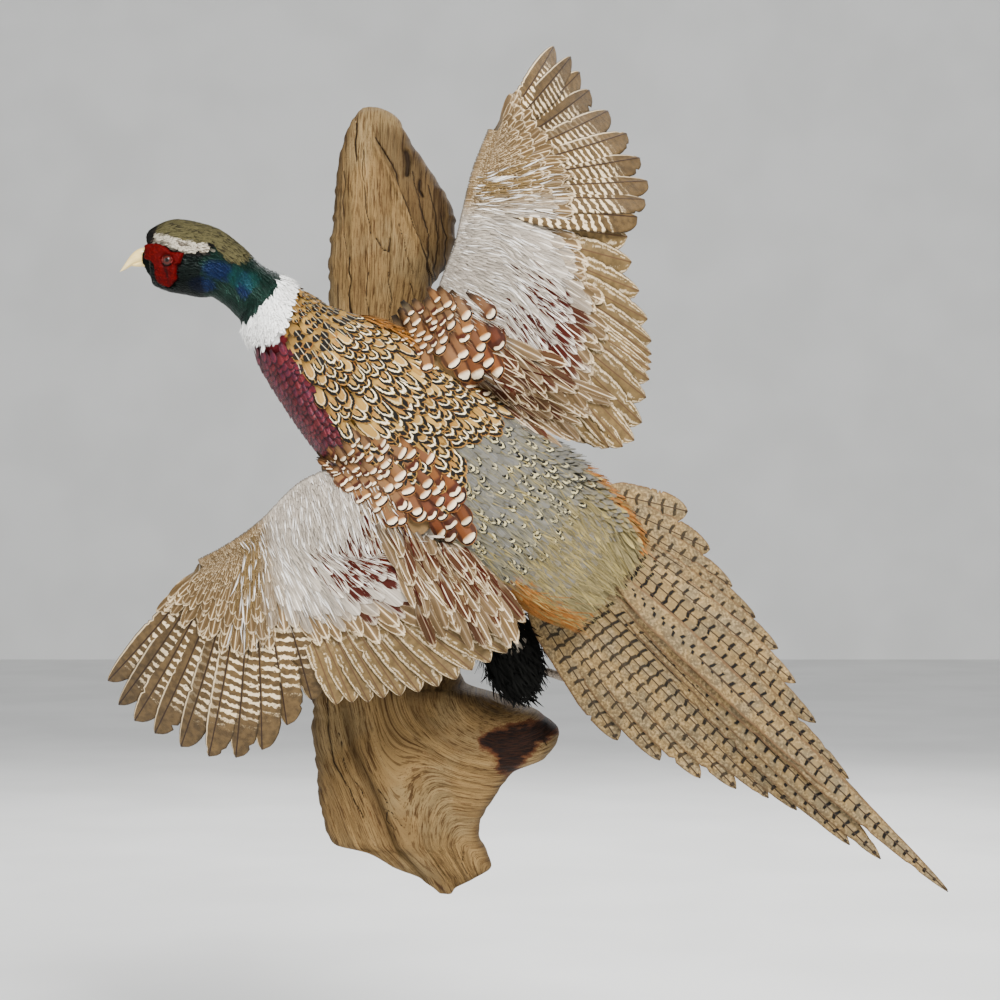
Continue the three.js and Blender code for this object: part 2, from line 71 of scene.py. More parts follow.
WINGS = {
    LEFT: {
        "lead": [(-0.5, -161, -217, -50), (4.5, -134, -224, -36), (9.5, -106, -226, -16),
                 (14, -79, -214, 12), (18, -61, -204, 23), (21, -38, -198, 32), (24, -5, -192, 42),
                 (26, 33, -186, 60)],
        "root": [(-0.5, -156, -216, -56), (4.5, -124, -222, -45), (9.5, -103, -222, -34),
                 (14, -74, -219, -39), (18, -40, -212, -47), (21, -12, -208, -47), (24, 30, -202, -30),
                 (26, 55, -196, -8)],
        "tip": [(-0.5, -254, -131, -147), (1, -242, -122, -180), (3, -210, -122, -205),
                (5, -161, -135, -224), (7, -113, -150, -217), (9, -68, -175, -171), (10, -47, -175, -175),
                (13, 10, -170, -169), (16, 74, -174, -146), (18, 108, -180, -121), (20, 100, -185, -77),
                (22, 76, -190, -42)],
    },
    RIGHT: {
        "lead": [(-0.5, 83, -206, 313), (4.5, 70, -217, 278), (9.5, 62, -226, 244), (14, 55, -214, 215),
                 (18, 47, -203, 196), (21, 40, -194, 178), (24, 29, -184, 149), (26, 16, -178, 128)],
        "root": [(-0.5, 90, -204, 311), (4.5, 82, -214, 277), (9.5, 76, -222, 244), (14, 93, -218, 212),
                 (18, 101, -208, 173), (21, 96, -200, 145), (24, 78, -194, 117), (26, 59, -190, 98)],
        "tip": [(-0.5, 133, -84, 410), (1, 157, -66, 400), (3, 174, -58, 371), (5, 207, -70, 330),
                (7, 224, -100, 283), (9, 212, -150, 245), (10, 205, -156, 227), (13, 225, -146, 136),
                (16, 223, -142, 102), (18, 211, -142, 52), (20, 180, -148, 46), (22, 134, -158, 71)],
    },
}
ARM_THICKNESS = [(-0.5, 5), (4.5, 8), (9.5, 12), (14, 15), (18, 19), (22, 24), (26, 28)]
WING_BULGE = [(-0.5, 16), (8, 15), (12, 9), (26, 8)]
VANE_ROOT, VANE_TIP = 4.5, 1.2
WING_END, PRIMARIES, SECONDARIES, VISIBLE_SECONDARIES = 26, 10, 12, 16
TAIL = {
    "root": [(0, 180, -136, 7), (4, 178, -143, -17), (9, 171, -150, -49), (14, 145, -143, -70),
             (18, 117, -136, -84)],
    "tip": [(0, 259, -112, -10), (2, 298, -112, -76), (4, 338, -114, -131), (6, 371, -116, -196),
            (7.5, 417, -116, -271), (8.5, 458, -114, -315), (9, 488, -112, -345), (9.5, 448, -113, -322),
            (10.5, 414, -115, -312), (12, 378, -113, -286), (14, 330, -111, -263), (16, 270, -108, -246),
            (18, 197, -106, -213)],
}
TAIL_BULGE = 5
UPPER_BILL = {"base": 8.5, "taper": 2.9,
              "line": [(0, -196, -206, 206), (0.3, -206, -206.5, 205), (0.65, -217, -207, 202),
                       (1, -227, -208, 195.5)]}
LOWER_BILL = {"base": 4.2, "taper": 2.4,
              "line": [(0, -194, -206, 200.8), (0.35, -204, -206.5, 200), (1, -219, -207.6, 197.4)]}
BILL_HALF_WIDTH, BILL_TIP = 6, 0.08
EYE = {"radius": 5.4, "height": -5, "station": 3, "inset": 2.2}
# Rows of the driftwood in mm: height, left edge, right edge, thickness.
WOOD = [
    (363, -34, -18, 16), (355, -41, -3, 30), (340, -49, 6, 42), (320, -54, 18, 52), (295, -58, 35, 60),
    (270, -60, 49, 64), (245, -63, 52, 66), (220, -65, 45, 68), (190, -65, 29, 70), (120, -67, 36, 72),
    (40, -71, 52, 73), (-40, -74, 62, 73), (-120, -78, 60, 72), (-165, -79, 58, 70), (-180, -80, 92, 68),
    (-193, -80, 124, 66), (-207, -81, 143, 64), (-220, -80, 147, 62), (-238, -78, 135, 58),
    (-252, -76, 105, 55), (-275, -74, 87, 50), (-297, -70, 75, 45), (-311, -66, 74, 40),
    (-319, -58, 76.5, 37), (-326, -30, 80, 33), (-340, -5, 84, 28), (-349, 16, 72, 22), (-358, 28, 54, 16),
    (-365, 37, 48, 10),
]
HANGER = {"x": -5, "z": 215, "width": 68, "height": 20, "recess": 3.2}


# ---------------------------------------------------------------- curves and surfaces


def smooth(rows, keys):
    """Values at the keys on a smooth curve through rows of (key, values...)."""
    rows = np.asarray(rows, float)
    knots, values = rows[:, 0], rows[:, 1:]
    keys = np.asarray(keys, float)
    i = np.clip(np.searchsorted(knots, keys, side="left") - 1, 0, len(knots) - 2)
    before = np.maximum(np.arange(len(knots)) - 1, 0)
    after = np.minimum(np.arange(len(knots)) + 1, len(knots) - 1)
    slopes = (values[after] - values[before]) / (knots[after] - knots[before])[:, None]
    span = (knots[i + 1] - knots[i])[..., None]
    t = (keys - knots[i])[..., None] / span
    rise = values[i + 1] - values[i]
    a, b = slopes[i] * span - rise, -slopes[i + 1] * span + rise
    return values[i] + t * rise + t * (1 - t) * (a * (1 - t) + b * t)


def dot(a, b):
    return np.sum(a * b, axis=-1, keepdims=True)


def unit(a):
    return a / np.maximum(np.linalg.norm(a, axis=-1, keepdims=True), 1e-12)


def ease(low, high, value):
    """0 below low, 1 above high and a smooth rise between them."""
    t = np.clip((value - low) / (high - low), 0, 1)
    return t * t * (3 - 2 * t)


def dice(seed):
    return np.random.default_rng(seed)


class Ground:
    """A surface held as a grid, on which feathers are laid. They lie along its rows."""

    def __init__(self, places, rows, columns, outward=None, closed=False):
        self.places, self.rows, self.columns, self.closed = places, rows, columns, closed
        self.by_row = np.gradient(places, axis=0)
        if closed:
            self.by_column = (np.roll(places, -1, axis=1) - np.roll(places, 1, axis=1)) / 2
        else:
            self.by_column = np.gradient(places, axis=1)
        self.normals = unit(np.cross(self.by_row, self.by_column))
        if outward is not None and np.mean(self.normals @ np.array(outward)) < 0:
            self.normals = -self.normals
        self.colours = np.full(places.shape, 0.4)

    def look(self, grid, i, j):
        """The grid's values at fractional rows and columns."""
        n, m = grid.shape[:2]
        i0 = np.clip(np.floor(i).astype(int), 0, n - 2)
        fi = (i - i0)[..., None]
        if self.closed:
            j0 = np.floor(j).astype(int)
            fj = (j - j0)[..., None]
            j0, j1 = j0 % m, (j0 + 1) % m
        else:
            j0 = np.clip(np.floor(j).astype(int), 0, m - 2)
            fj, j1 = (j - j0)[..., None], j0 + 1
        near = grid[i0, j0] * (1 - fj) + grid[i0, j1] * fj
        far = grid[i0 + 1, j0] * (1 - fj) + grid[i0 + 1, j1] * fj
        return near * (1 - fi) + far * fi

    def keys(self, roots):
        """The row keys and column keys of roots."""
        return [np.interp(roots[:, k], np.arange(len(keys)), keys)
                for k, keys in enumerate((self.rows, self.columns))]

    def row_index(self, keys):
        return np.interp(keys, self.rows, np.arange(len(self.rows)))

    def column_index(self, keys):
        return np.interp(keys, self.columns, np.arange(len(self.columns)))

    def at(self, roots, grid=None):
        """The places of roots, or their values on another grid."""
        return self.look(self.places if grid is None else grid, roots[:, 0], roots[:, 1])

    def roots(self, rows, columns, step, gap, seed, jitter=0.3):
        """Staggered places between two row keys and two column keys, step and gap mm apart along and across.

        Each has its row, its column, and the centre and size of its patch on a map.
        """
        chance = dice(seed)
        (i_from, i_to), (j_from, j_to) = self.row_index(rows), self.column_index(columns)
        line_i = np.linspace(i_from, i_to, 200)
        lines = [self.look(self.places, line_i, np.full(200, j)) for j in np.linspace(j_from, j_to, 5)]
        lengths = np.mean([np.linalg.norm(np.diff(l, axis=0), axis=1) for l in lines], axis=0)
        run = np.concatenate([[0], np.cumsum(lengths)])
        count = max(int(run[-1] / (step * MM)), 1)
        found = []
        for r in range(count):
            i = np.interp((r + 0.5) / count * run[-1], run, line_i)
            js = np.linspace(j_from, j_to, 120)
            across = self.look(self.places, np.full(120, i), js)
            arc = np.concatenate([[0], np.cumsum(np.linalg.norm(np.diff(across, axis=0), axis=1))])
            number = max(int(round(arc[-1] / (gap * MM))), 1)
            c = np.arange(number)
            shift = 0.25 if r % 2 else -0.25
            at = (c + 0.5 + shift + chance.uniform(-jitter, jitter, number) * 0.6) / number
            row_step = (i_to - i_from) / count
            found.append(np.stack([
                i + chance.uniform(-jitter, jitter, number) * row_step,
                np.interp(np.clip(at, 0, 1) * arc[-1], arc, js),
                (c + 0.5 + shift) / (number + 0.5), np.full(number, (r + 0.5) / count),
                np.full(number, 0.9 / (number + 0.5)), np.full(number, 0.9 / count)], axis=1))
        return np.concatenate(found)


def numbered(table):
    """Rows of a table with their numbers in front, as keys."""
    return [(i, *row) for i, row in enumerate(table)]


def along_body(keys):
    """Centres in mm, directions along, up the back and to the side, and sizes of the body at stations."""
    rows, reach = numbered(BODY), 0.05
    values = smooth(rows, keys)
    ahead = smooth(rows, np.minimum(keys + reach, len(BODY) - 1))
    along = unit(ahead[..., :3] - smooth(rows, np.maximum(keys - reach, 0))[..., :3])
    back = values[..., 6:9]
    back = unit(back - along * dot(back, along))
    return values[..., :3], along, back, unit(np.cross(back, along)), values[..., 3:6]


def body_places(keys, angles):
    """Places on the body in metres at stations and at angles in degrees from the middle of the back."""
    centre, _, back, side, sizes_there = along_body(keys)
    turn = np.radians(angles)[None, :, None]
    up = np.cos(turn)
    width, above, below = (sizes_there[:, None, k:k + 1] for k in range(3))
    lift = np.where(up > 0, np.maximum(up, 0) ** 0.8 * above, up * below)
    return (centre[:, None] + side[:, None] * np.sin(turn) * width + back[:, None] * lift) * MM


def wing_line(spec, reach, keys, face):
    """Places on a wing's upper (-1) or under (1) face. Reach 1 is the feathers' roots, 2 their tips."""
    lead, root = smooth(spec["lead"], keys), smooth(spec["root"], keys)
    tip = smooth(spec["tip"], np.minimum(keys, spec["tip"][-1][0]))
    if reach <= 1:
        place = lead + (root - lead) * reach
        place[:, 1] -= 0.06 * np.linalg.norm(lead - root, axis=1) * math.sin(math.pi * reach)
        section = 0.3 + 0.7 * math.sin(math.pi * min(0.04 + reach * 1.05, 1) ** 0.75)
        half = np.maximum(smooth(ARM_THICKNESS, keys)[:, 0] * section, VANE_ROOT) / 2
    else:
        place = root + (tip - root) * (reach - 1)
        place[:, 1] -= smooth(WING_BULGE, keys)[:, 0] * math.sin(math.pi * (reach - 1))
        half = np.full(len(keys), VANE_ROOT + (VANE_TIP - VANE_ROOT) * (reach - 1) ** 0.6) / 2
    place[:, 1] += face * half
    return place * MM


def wing_ground(spec, keys, face):
    """One face of a wing, its rows at even distances from the leading edge, and its chord at each key in mm."""
    lines = np.stack([wing_line(spec, reach, keys, face) for reach in np.linspace(0, 2, 90)])
    run = np.concatenate([np.zeros((1, len(keys))),
                          np.cumsum(np.linalg.norm(np.diff(lines, axis=0), axis=2), axis=0)])
    steps = np.arange(0, 260, 2.0)
    places = np.empty((len(steps), len(keys), 3))
    for j in range(len(keys)):
        for axis in range(3):
            places[:, j, axis] = np.interp(steps * MM, run[:, j], lines[:, j, axis])
        beyond = np.maximum(steps * MM - run[-1, j], 0)[:, None]
        places[:, j] += beyond * unit(lines[-1, j] - lines[-6, j])
    # the places are evened across the wing, so that long coverts don't wave
    for _ in range(3):
        places[:, 1:-1] = (places[:, :-2] + 2 * places[:, 1:-1] + places[:, 2:]) / 4
    return Ground(places, steps, keys, (0, face, 0)), run[-1] / MM


# ---------------------------------------------------------------- colours of the regions


def plumage():
    return bpy.context.scene.pheasant_plumage


def sizes():
    return bpy.context.scene.pheasant_sizes


def body_kind(key, angle):
    """Which plumage grows at a station and an angle from the middle of the back."""
    key, angle = np.broadcast_arrays(key, angle)
    kind = np.full(key.shape, "belly", dtype="U8")
    side = np.abs(angle)
    left = np.interp(key, [9.2, 11, 12.6, 13.4, 14.3], [-48, -50, -46, -52, -62])
    right = np.interp(key, [9.2, 11, 12, 14.3], [62, 62, 72, 80])
    kind[(key > 13.8) & (side > 88) & (side < 140)] = "flank"
    kind[(key > 17) & (side >= 110)] = "vent"
    kind[(key > 14.3) & (side <= 100)] = "back"
    kind[(key > 16.1) & (side <= 115)] = "rump"
    kind[(key > 15.9) & (key < 17.6) & (angle > 58) & (angle < 125)] = "rust"
    kind[(key > 16.1) & (key < 17.6) & (angle < -52) & (angle > -125)] = "rust"
    kind[key <= 13.8] = "breast"
    kind[(key > 11.2) & (key <= 13.8) & (angle > 68) & (angle < 118)] = "flank"
    kind[(key <= 14.35) & (angle > left) & (angle < right)] = "mantle"
    kind[key < collar_end(angle)] = "collar"
    kind[key < collar_start(angle)] = "neck"
    kind[key < 6.4] = "head"
    return kind


def collar_start(angle):
    """The station where the white collar starts, at an angle from the middle of the back."""
    return np.interp(angle, [-180, -100, -40, 10, 60, 180], [9.2, 9.25, 9.0, 8.75, 8.7, 9.2])


def collar_end(angle):
    """The station where the white collar ends."""
    return np.interp(angle, [-180, -105, -72, -40, -22, 0, 25, 60, 180],
                     [10.0, 10.1, 10.35, 10.2, 9.95, 9.65, 9.5, 9.5, 9.9])


CROWN_LINE = ([-206, -203.6, -189, -181, -168, -155, -149, -139, -130, -122, -118, -112],
              [224, 221.5, 221, 218.5, 215, 215, 213, 203, 199, 202, 208, 230])
BROW_LINE = ([-204, -189, -181, -168, -155, -149], [215, 213, 209, 206, 206.5, 210])


def head_colours(place):
    """Colours of the head and neck by their place in metres."""
    p = plumage()
    x, z = place[..., 0] / MM, place[..., 2] / MM
    colour = np.zeros(place.shape) + np.array(p.neck_green)
    for tone, spots in ((p.neck_blue, ((-146, 194, 15, 9), (-160, 181, 13, 7), (-124, 184, 8, 12))),
                        (p.neck_teal, ((-130, 190, 9, 10), (-118, 187, 8, 9)))):
        amount = np.zeros(x.shape)
        for cx, cz, rx, rz in spots:
            amount = np.maximum(amount, 1 - ((x - cx) / rx) ** 2 - ((z - cz) / rz) ** 2)
        amount = np.clip(amount * 1.1, 0, 0.62)[..., None]
        colour = colour * (1 - amount) + np.array(tone) * amount
    face = ((x < -160) & (z < 216))[..., None]
    colour = np.where(face, colour * 0.25, colour)
    top, bottom = np.interp(x, *CROWN_LINE), np.interp(x, *BROW_LINE)
    colour[(z > top) & (x < -112)] = p.crown
    colour[(z > bottom) & (z <= top) & (x < -150) & (x > -203)] = p.eyebrow
    colour[(x < -199) & (z > 207 + (x + 203) * 1.5)] = p.forehead
    colour[(np.abs(z - bottom + 0.6) < 1.3) & (x < -152)] = p.forehead
    return colour


def body_colours(kind, place):
    p = plumage()
    colour = head_colours(place)
    for name, value in (("collar", p.collar), ("breast", p.breast), ("mantle", p.mantle), ("back", p.back),
                        ("rump", p.rump), ("rust", p.rust), ("flank", p.flank), ("belly", p.belly),
                        ("vent", p.vent)):
        colour[kind == name] = value
    return colour


COVERED = ([-0.5, 1, 3, 5, 8, 10, 14, 18, 22, 26], [0.24, 0.34, 0.42, 0.48, 0.56, 0.62, 0.70, 0.74, 0.70, 0.70])


def covert_reach(side, key):
    """How far from the leading edge the coverts' tips reach, in mm."""
    ground = grounds[f"top_{side}"]
    return np.interp(key, *COVERED) * np.interp(key, ground.columns, chords[side])


def wing_colours(share, key):
    """Upper side of a wing: silky grey by the shoulder, tan towards the hand and the coverts' tips."""
    p = plumage()
    hand = ease(10.6, 7.0, key + 2.0 * (share - 0.5))
    hand = np.clip(hand + 0.9 * ease(0.84, 1.0, share), 0, 1)[..., None]
    inner = ease(20.6, 23.0, key)[..., None]
    grey = np.array(p.shoulder_grey) * (1 - 0.35 * ease(0.45, 0.75, share + 0 * key))[..., None]
    colour = grey * (1 - hand) + np.array(p.flight_tan) * hand
    return colour * (1 - inner) + np.array(p.covert_tan) * inner


INK = (0.004, 0.003, 0.002)


def shaded(p, colour, lines, barb, chance, spread, root, y, depth=0.0002):
    """Adds barbs, a darker root and a little chance to a feather's colour."""
    # root darkens each feather's base: painted shade where its neighbours overlap it
    shade = (1 + lines * barb + (chance - 0.5) * spread) * (root + (1 - root) * p.step(0.05, 0.5, y))
    return p.finish(p.shade(colour, shade), bump=lines, depth=depth)


grounds, chords = {}, {}


def make_grounds():
    """The body and both faces of each wing as grids."""
    keys, angles = np.linspace(0.2, len(BODY) - 1, 240), np.linspace(-180, 180, 144, endpoint=False)
    body = Ground(body_places(keys, angles), keys, angles, closed=True)
    body.colours = body_colours(body_kind(keys[:, None], angles[None, :]), body.places)
    grounds["body"] = body
    wing_keys = np.linspace(-0.5, WING_END, 130)
    for side, spec in WINGS.items():
        top, chords[side] = wing_ground(spec, wing_keys, -1)
        grounds[f"top_{side}"] = top
        share = top.rows[:, None] / covert_reach(side, wing_keys)[None]
        top.colours = wing_colours(share, wing_keys[None] + 0 * share)
        under, chords[side] = wing_ground(spec, wing_keys, 1)
        grounds[f"under_{side}"] = under
        under.colours = 0 * under.colours + np.array(plumage().under_wing)


def drape(name, corners, rows, columns, target, rise, blur=3):
    """A patch of ground laid over a mesh from the front, between the ends of its first and last rows in mm."""
    a, b, c, d = (np.array(corner, float) for corner in corners)
    u, v = np.linspace(0, 1, columns)[None, :, None], np.linspace(0, 1, rows)[:, None, None]
    flat = (a * (1 - u) + b * u) * (1 - v) + (c * (1 - u) + d * u) * v
    depth = np.full((rows, columns), np.nan)
    for i in range(rows):
        for j in range(columns):
            hit = target.ray_cast(Vector((flat[i, j, 0] * MM, -1, flat[i, j, 1] * MM)), Vector((0, 1, 0)))
            if hit[0] is not None:
                depth[i, j] = hit[0].y
    middle = np.nanmean(depth)
    for _ in range(40):
        hole = np.isnan(depth)
        if not hole.any():
            break
        padded = np.pad(depth, 1, constant_values=np.nan)
        stack = np.stack([padded[:-2, 1:-1], padded[2:, 1:-1], padded[1:-1, :-2], padded[1:-1, 2:]])
        count = (~np.isnan(stack)).sum(0)
        near = np.where(count > 0, np.nansum(stack, axis=0) / np.maximum(count, 1), np.nan)
        depth = np.where(hole, near, depth)
    depth = np.nan_to_num(depth, nan=middle)
    for _ in range(blur):
        padded = np.pad(depth, 1, mode="edge")
        beside = padded[:-2, 1:-1] + padded[2:, 1:-1] + padded[1:-1, :-2] + padded[1:-1, 2:]
        depth = np.minimum(depth, beside / 4)
    places = np.stack([flat[..., 0] * MM, depth - rise * MM, flat[..., 1] * MM], axis=-1)
    grounds[name] = Ground(places, np.linspace(0, 1, rows), np.linspace(0, 1, columns), (0, -1, 0))


# ---------------------------------------------------------------- feathers


def rounded(widest=0.62, root=0.4, point=2.0):
    """Outline of a contour feather: its half width as a share of the greatest."""
    def outline(v):
        rise = root + (1 - root) * ease(0, widest, v)
        fall = np.clip(1 - (np.clip(v - widest, 0, 1) / (1 - widest)) ** point, 0, 1) ** 0.5
        return np.where(v < widest, rise, fall)
    return outline


def strand(v):
    """Outline of a hair-like plume."""
    return np.maximum(0.35 + 0.65 * ease(0, 0.3, v) - ease(0.35, 1, v) * 0.92, 0.06)


CONTOUR = np.array([0, 0.2, 0.4, 0.58, 0.72, 0.83, 0.91, 0.965, 1])
COARSE = CONTOUR[::2]
SHORT = np.array([0, 0.35, 0.65, 0.88, 1])
HAIR = np.array([0, 0.3, 0.6, 1])
# The shaft's width and height as shares of the vane's, and how ragged the borders between kinds of plumage are.
SHAFT_WIDTH, SHAFT_RISE, BORDER_FUZZ = 0.12, 0.02, 0.12


def lay(ground, roots, length, width, outline, stations, columns, lift=(0.2, 1.2), turn=0, camber=0.1, curl=0,
        ragged=0, seed=1, spread=0.06, size_jitter=0.1):
    """Vanes rooted on a ground. Sizes are in mm; lift is the height of root and tip above the ground."""
    chance = dice(seed)
    n = len(roots)
    length, width = (np.broadcast_to(size, n)[:, None, None]
                     * chance.uniform(1 - size_jitter, 1 + size_jitter, (n, 1, 1)) * MM
                     for size in (length, width))
    turn = (np.broadcast_to(turn, n) + chance.normal(0, spread, n))[:, None]
    normal, by_row, by_column = (ground.at(roots, grid)
                                 for grid in (ground.normals, ground.by_row, ground.by_column))
    along = unit(by_row)
    direction = along * np.cos(turn) + unit(np.cross(normal, along)) * np.sin(turn)
    across = unit(np.cross(normal, direction))
    a, b, d = dot(by_row, by_row), dot(by_row, by_column), dot(by_column, by_column)
    det = np.maximum(a * d - b * b, 1e-16)

    def to_grid(vector):
        x, y = dot(vector, by_row), dot(vector, by_column)
        return ((d * x - b * y) / det)[:, None], ((a * y - b * x) / det)[:, None]

    along_i, along_j = to_grid(direction)
    across_i, across_j = to_grid(across)
    u, v = np.linspace(-1, 1, columns + 1), stations[:, None]
    flat = u * outline(v)
    run, wide = v * length + 0 * flat, flat * width / 2
    if ragged:
        run = run + chance.normal(0, ragged, run.shape) * MM * v ** 2 * np.abs(u)
        wide = wide * (1 + chance.normal(0, 0.06, wide.shape))
    wide = wide + chance.normal(0, curl, n)[:, None, None] * v ** 2 * length
    i, j = roots[:, 0, None, None], roots[:, 1, None, None]
    gi, gj = i + along_i * run + across_i * wide, j + along_j * run + across_j * wide
    place, up = ground.look(ground.places, gi, gj), unit(ground.look(ground.normals, gi, gj))
    tall = chance.uniform(0.8, 1.2, n)[:, None, None]
    height = (lift[0] + (lift[1] - lift[0]) * v * tall) * MM - camber * flat ** 2 * width
    crest = np.exp(-(flat / SHAFT_WIDTH) ** 2) * SHAFT_RISE * width
    return {"vertices": place + up * (height + crest)[..., None],
            "plan": np.stack([0.5 + flat / 2, np.broadcast_to(v, flat.shape)], axis=-1),
            "tint": ground.at(roots, ground.colours), "chance": chance.uniform(0, 1, (n, 3)),
            "patch": roots[:, 2:6]}


def own(piece, slot, finish_name, *replaced):
    """Puts a piece on the mount's one body, with its finish and the solids that it stands for."""
    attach(piece, "root")
    if replaced:
        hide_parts(*replaced)
    piece.data.materials.clear()
    piece.data.materials.append(finish(finish_name))


def set_colours(mesh, name, values):
    """Gives a mesh a colour for each vertex."""
    layer = mesh.attributes.new(name, "FLOAT_COLOR", "POINT")
    full = np.ones((len(mesh.vertices), 4), np.float32)
    full[:, :3] = values
    layer.data.foreach_set("color", full.ravel())


def mesh_piece(name, vertices, faces, maps=None, colours=None, caps=None):
    """A mesh from arrays of vertices, faces, corner maps and vertex colours."""
    mesh = bpy.data.meshes.new(name)
    loops = faces.ravel()
    starts = np.arange(len(faces)) * 4
    if caps is not None:
        starts = np.concatenate([starts, len(loops) + np.arange(len(caps)) * caps.shape[1]])
        loops = np.concatenate([loops, caps.ravel()])
    mesh.vertices.add(len(vertices))
    mesh.vertices.foreach_set("co", np.ascontiguousarray(vertices, np.float32).ravel())
    mesh.loops.add(len(loops))
    mesh.loops.foreach_set("vertex_index", loops.astype(np.int32))
    mesh.polygons.add(len(starts))
    mesh.polygons.foreach_set("loop_start", starts.astype(np.int32))
    mesh.polygons.foreach_set("use_smooth", np.ones(len(starts), bool))
    mesh.update(calc_edges=True)
    for map_name, values in (maps or {}).items():
        layer = mesh.uv_layers.new(name=map_name)
        layer.data.foreach_set("uv", np.ascontiguousarray(values, np.float32).ravel())
    for colour_name, values in (colours or {}).items():
        set_colours(mesh, colour_name, values)
    mesh.validate()
    piece = bpy.data.objects.new(name, mesh)
    bpy.context.scene.collection.objects.link(piece)
    return piece


def tube_faces(rows, around):
    """The corners of a tube's faces, and of its two caps, from rows of vertices round it."""
    grid = np.arange(rows * around).reshape(rows, around)
    after = np.roll(grid, -1, axis=1)
    quads = np.stack([grid[:-1], grid[1:], after[1:], after[:-1]], axis=-1).reshape(-1, 4)
    return quads, np.stack([grid[0], grid[-1][::-1]])


def coat_piece(name, batches, finish_name, slot):
    """Joins batches of vanes into one piece, each vane a patch of its own on the coat's map."""
    places, faces, plans, bakes, tints, chances = [], [], [], [], [], []
    start = 0
    for band, batch in enumerate(batches):
        n, rows, columns = batch["vertices"].shape[:3]
        each = rows * columns
        grid = np.arange(each).reshape(rows, columns)
        quad = np.stack([grid[:-1, :-1], grid[:-1, 1:], grid[1:, 1:], grid[1:, :-1]], axis=-1).reshape(-1, 4)
        face = (quad + (np.arange(n) * each)[:, None, None]).reshape(-1, 4)
        plan = np.tile(batch["plan"].reshape(1, -1, 2), (n, 1, 1))
        centre, size = batch["patch"][:, :2], batch["patch"][:, 2:]
        low, high = centre.min(0) - size.max(0) / 2, centre.max(0) + size.max(0) / 2
        scale = 1 / (high - low)
        bake = ((centre - low) * scale)[:, None] + (plan - 0.5) * (size * scale)[:, None]
        bake[..., 1] = (band + bake[..., 1]) / len(batches)
        places.append(batch["vertices"].reshape(-1, 3))
        faces.append(face + start)
        plans.append(plan.reshape(-1, 2)[face.ravel()])
        bakes.append(bake.reshape(-1, 2)[face.ravel()])
        tints.append(np.repeat(batch["tint"], each, axis=0))
        chances.append(np.repeat(batch["chance"], each, axis=0))
        start += n * each
    piece = mesh_piece(name, np.concatenate(places), np.concatenate(faces),
                       {"OFBake": np.concatenate(bakes), "Plan": np.concatenate(plans)},
                       {"tint": np.concatenate(tints), "chance": np.concatenate(chances)})
    own(piece, slot, finish_name)


def joined_rows(rows):
    """One batch from rows of vanes with one grid."""
    return {"plan": rows[0]["plan"], **{key: np.concatenate([row[key] for row in rows])
                                        for key in ("vertices", "tint", "chance", "patch")}}


def raise_tips(ground, roots, batch, share, height):
    """Lifts vanes off the ground towards their tips, each by its share of a height in mm."""
    rise = (batch["plan"][..., 1] ** 1.2)[None, :, :, None] * share[:, None, None, None] * height * MM
    batch["vertices"] = batch["vertices"] + ground.at(roots, ground.normals)[:, None, None] * rise


def body_roots(kinds, rows, columns, step, gap, seed):
    """Roots on the body where one of the kinds of plumage grows, with a ragged border."""
    ground = grounds["body"]
    roots = ground.roots(rows, columns, step, gap, seed)
    chance = dice(seed + 99)
    key, angle = ground.keys(roots)
    key = key + chance.normal(0, BORDER_FUZZ, len(roots))
    angle = angle + chance.normal(0, 20 * BORDER_FUZZ, len(roots))
    return roots[np.isin(body_kind(key, angle), kinds)]


# ---------------------------------------------------------------- flight and tail feathers


# Rows and columns of a flight feather, and its web's thickness and its shaft's height in mm.
VANE_ROWS, VANE_COLUMNS, VANE_THICKNESS, SHAFT_HEIGHT = 56, 12, 0.45, 0.9


def quill_vane(root, tip, bulge, outward, outer_half, inner_half, tilt, bow, seed, level, split):
    """A closed flight feather. outward points to its outer edge; half widths are arrays over its rows."""
    up = np.cross(outward, unit(tip - root))
    up = unit(up * (1 if up[1] < 0 else -1))
    chance = dice(seed)
    t = np.linspace(0, 1, VANE_ROWS)
    centre = root + (tip - root) * t[:, None]
    centre[:, 1] -= bulge * np.sin(np.pi * t)
    centre = centre + outward * (bow * np.sin(np.pi * t))[:, None]
    along = unit(np.gradient(centre, axis=0))
    normal = unit(up - along * dot(along, up))
    lateral = unit(np.cross(normal, along))
    if np.mean(lateral @ outward) < 0:
        lateral = -lateral
    u = np.linspace(-1, 1, VANE_COLUMNS + 1)
    u = np.sign(u) * np.abs(u) ** 1.35
    nick = np.ones((VANE_ROWS, 2))
    for _ in range(split):
        at, edge = chance.uniform(0.35, 0.97), chance.integers(0, 2)
        nick[:, edge] *= 1 - chance.uniform(0.1, 0.34) * np.exp(-((t - at) / 0.007) ** 2)
    nick *= 1 + chance.normal(0, 0.012, nick.shape)
    half = np.where(u > 0, (outer_half * nick[:, 0])[:, None], (inner_half * nick[:, 1])[:, None])
    x = u * half
    level = level + tilt * x / np.maximum(half.max(), 1) - 0.10 * np.abs(x) ** 1.3 / np.maximum(half, 1) ** 0.3
    ridge = SHAFT_HEIGHT * (1 - 0.8 * t[:, None]) * np.exp(-(x / 0.7) ** 2) + VANE_THICKNESS / 2
    sweep = 0.35 * np.abs(x)[..., None] * (0.15 + 0.6 * t * (1 - t))[:, None, None]
    upper = centre[:, None] + lateral[:, None] * x[..., None] + normal[:, None] * (level + ridge)[..., None] \
        + along[:, None] * sweep
    lower = upper - normal[:, None] * (2 * ridge)[..., None]
    across = np.concatenate([u, u[::-1]])
    plan = np.stack(np.broadcast_arrays(0.5 + across / 2, t[:, None]), axis=-1)
    return {"ring": np.concatenate([upper, lower[:, ::-1]], axis=1) * MM, "plan": plan,
            "widths": np.concatenate([x, x[:, ::-1]], axis=1)}


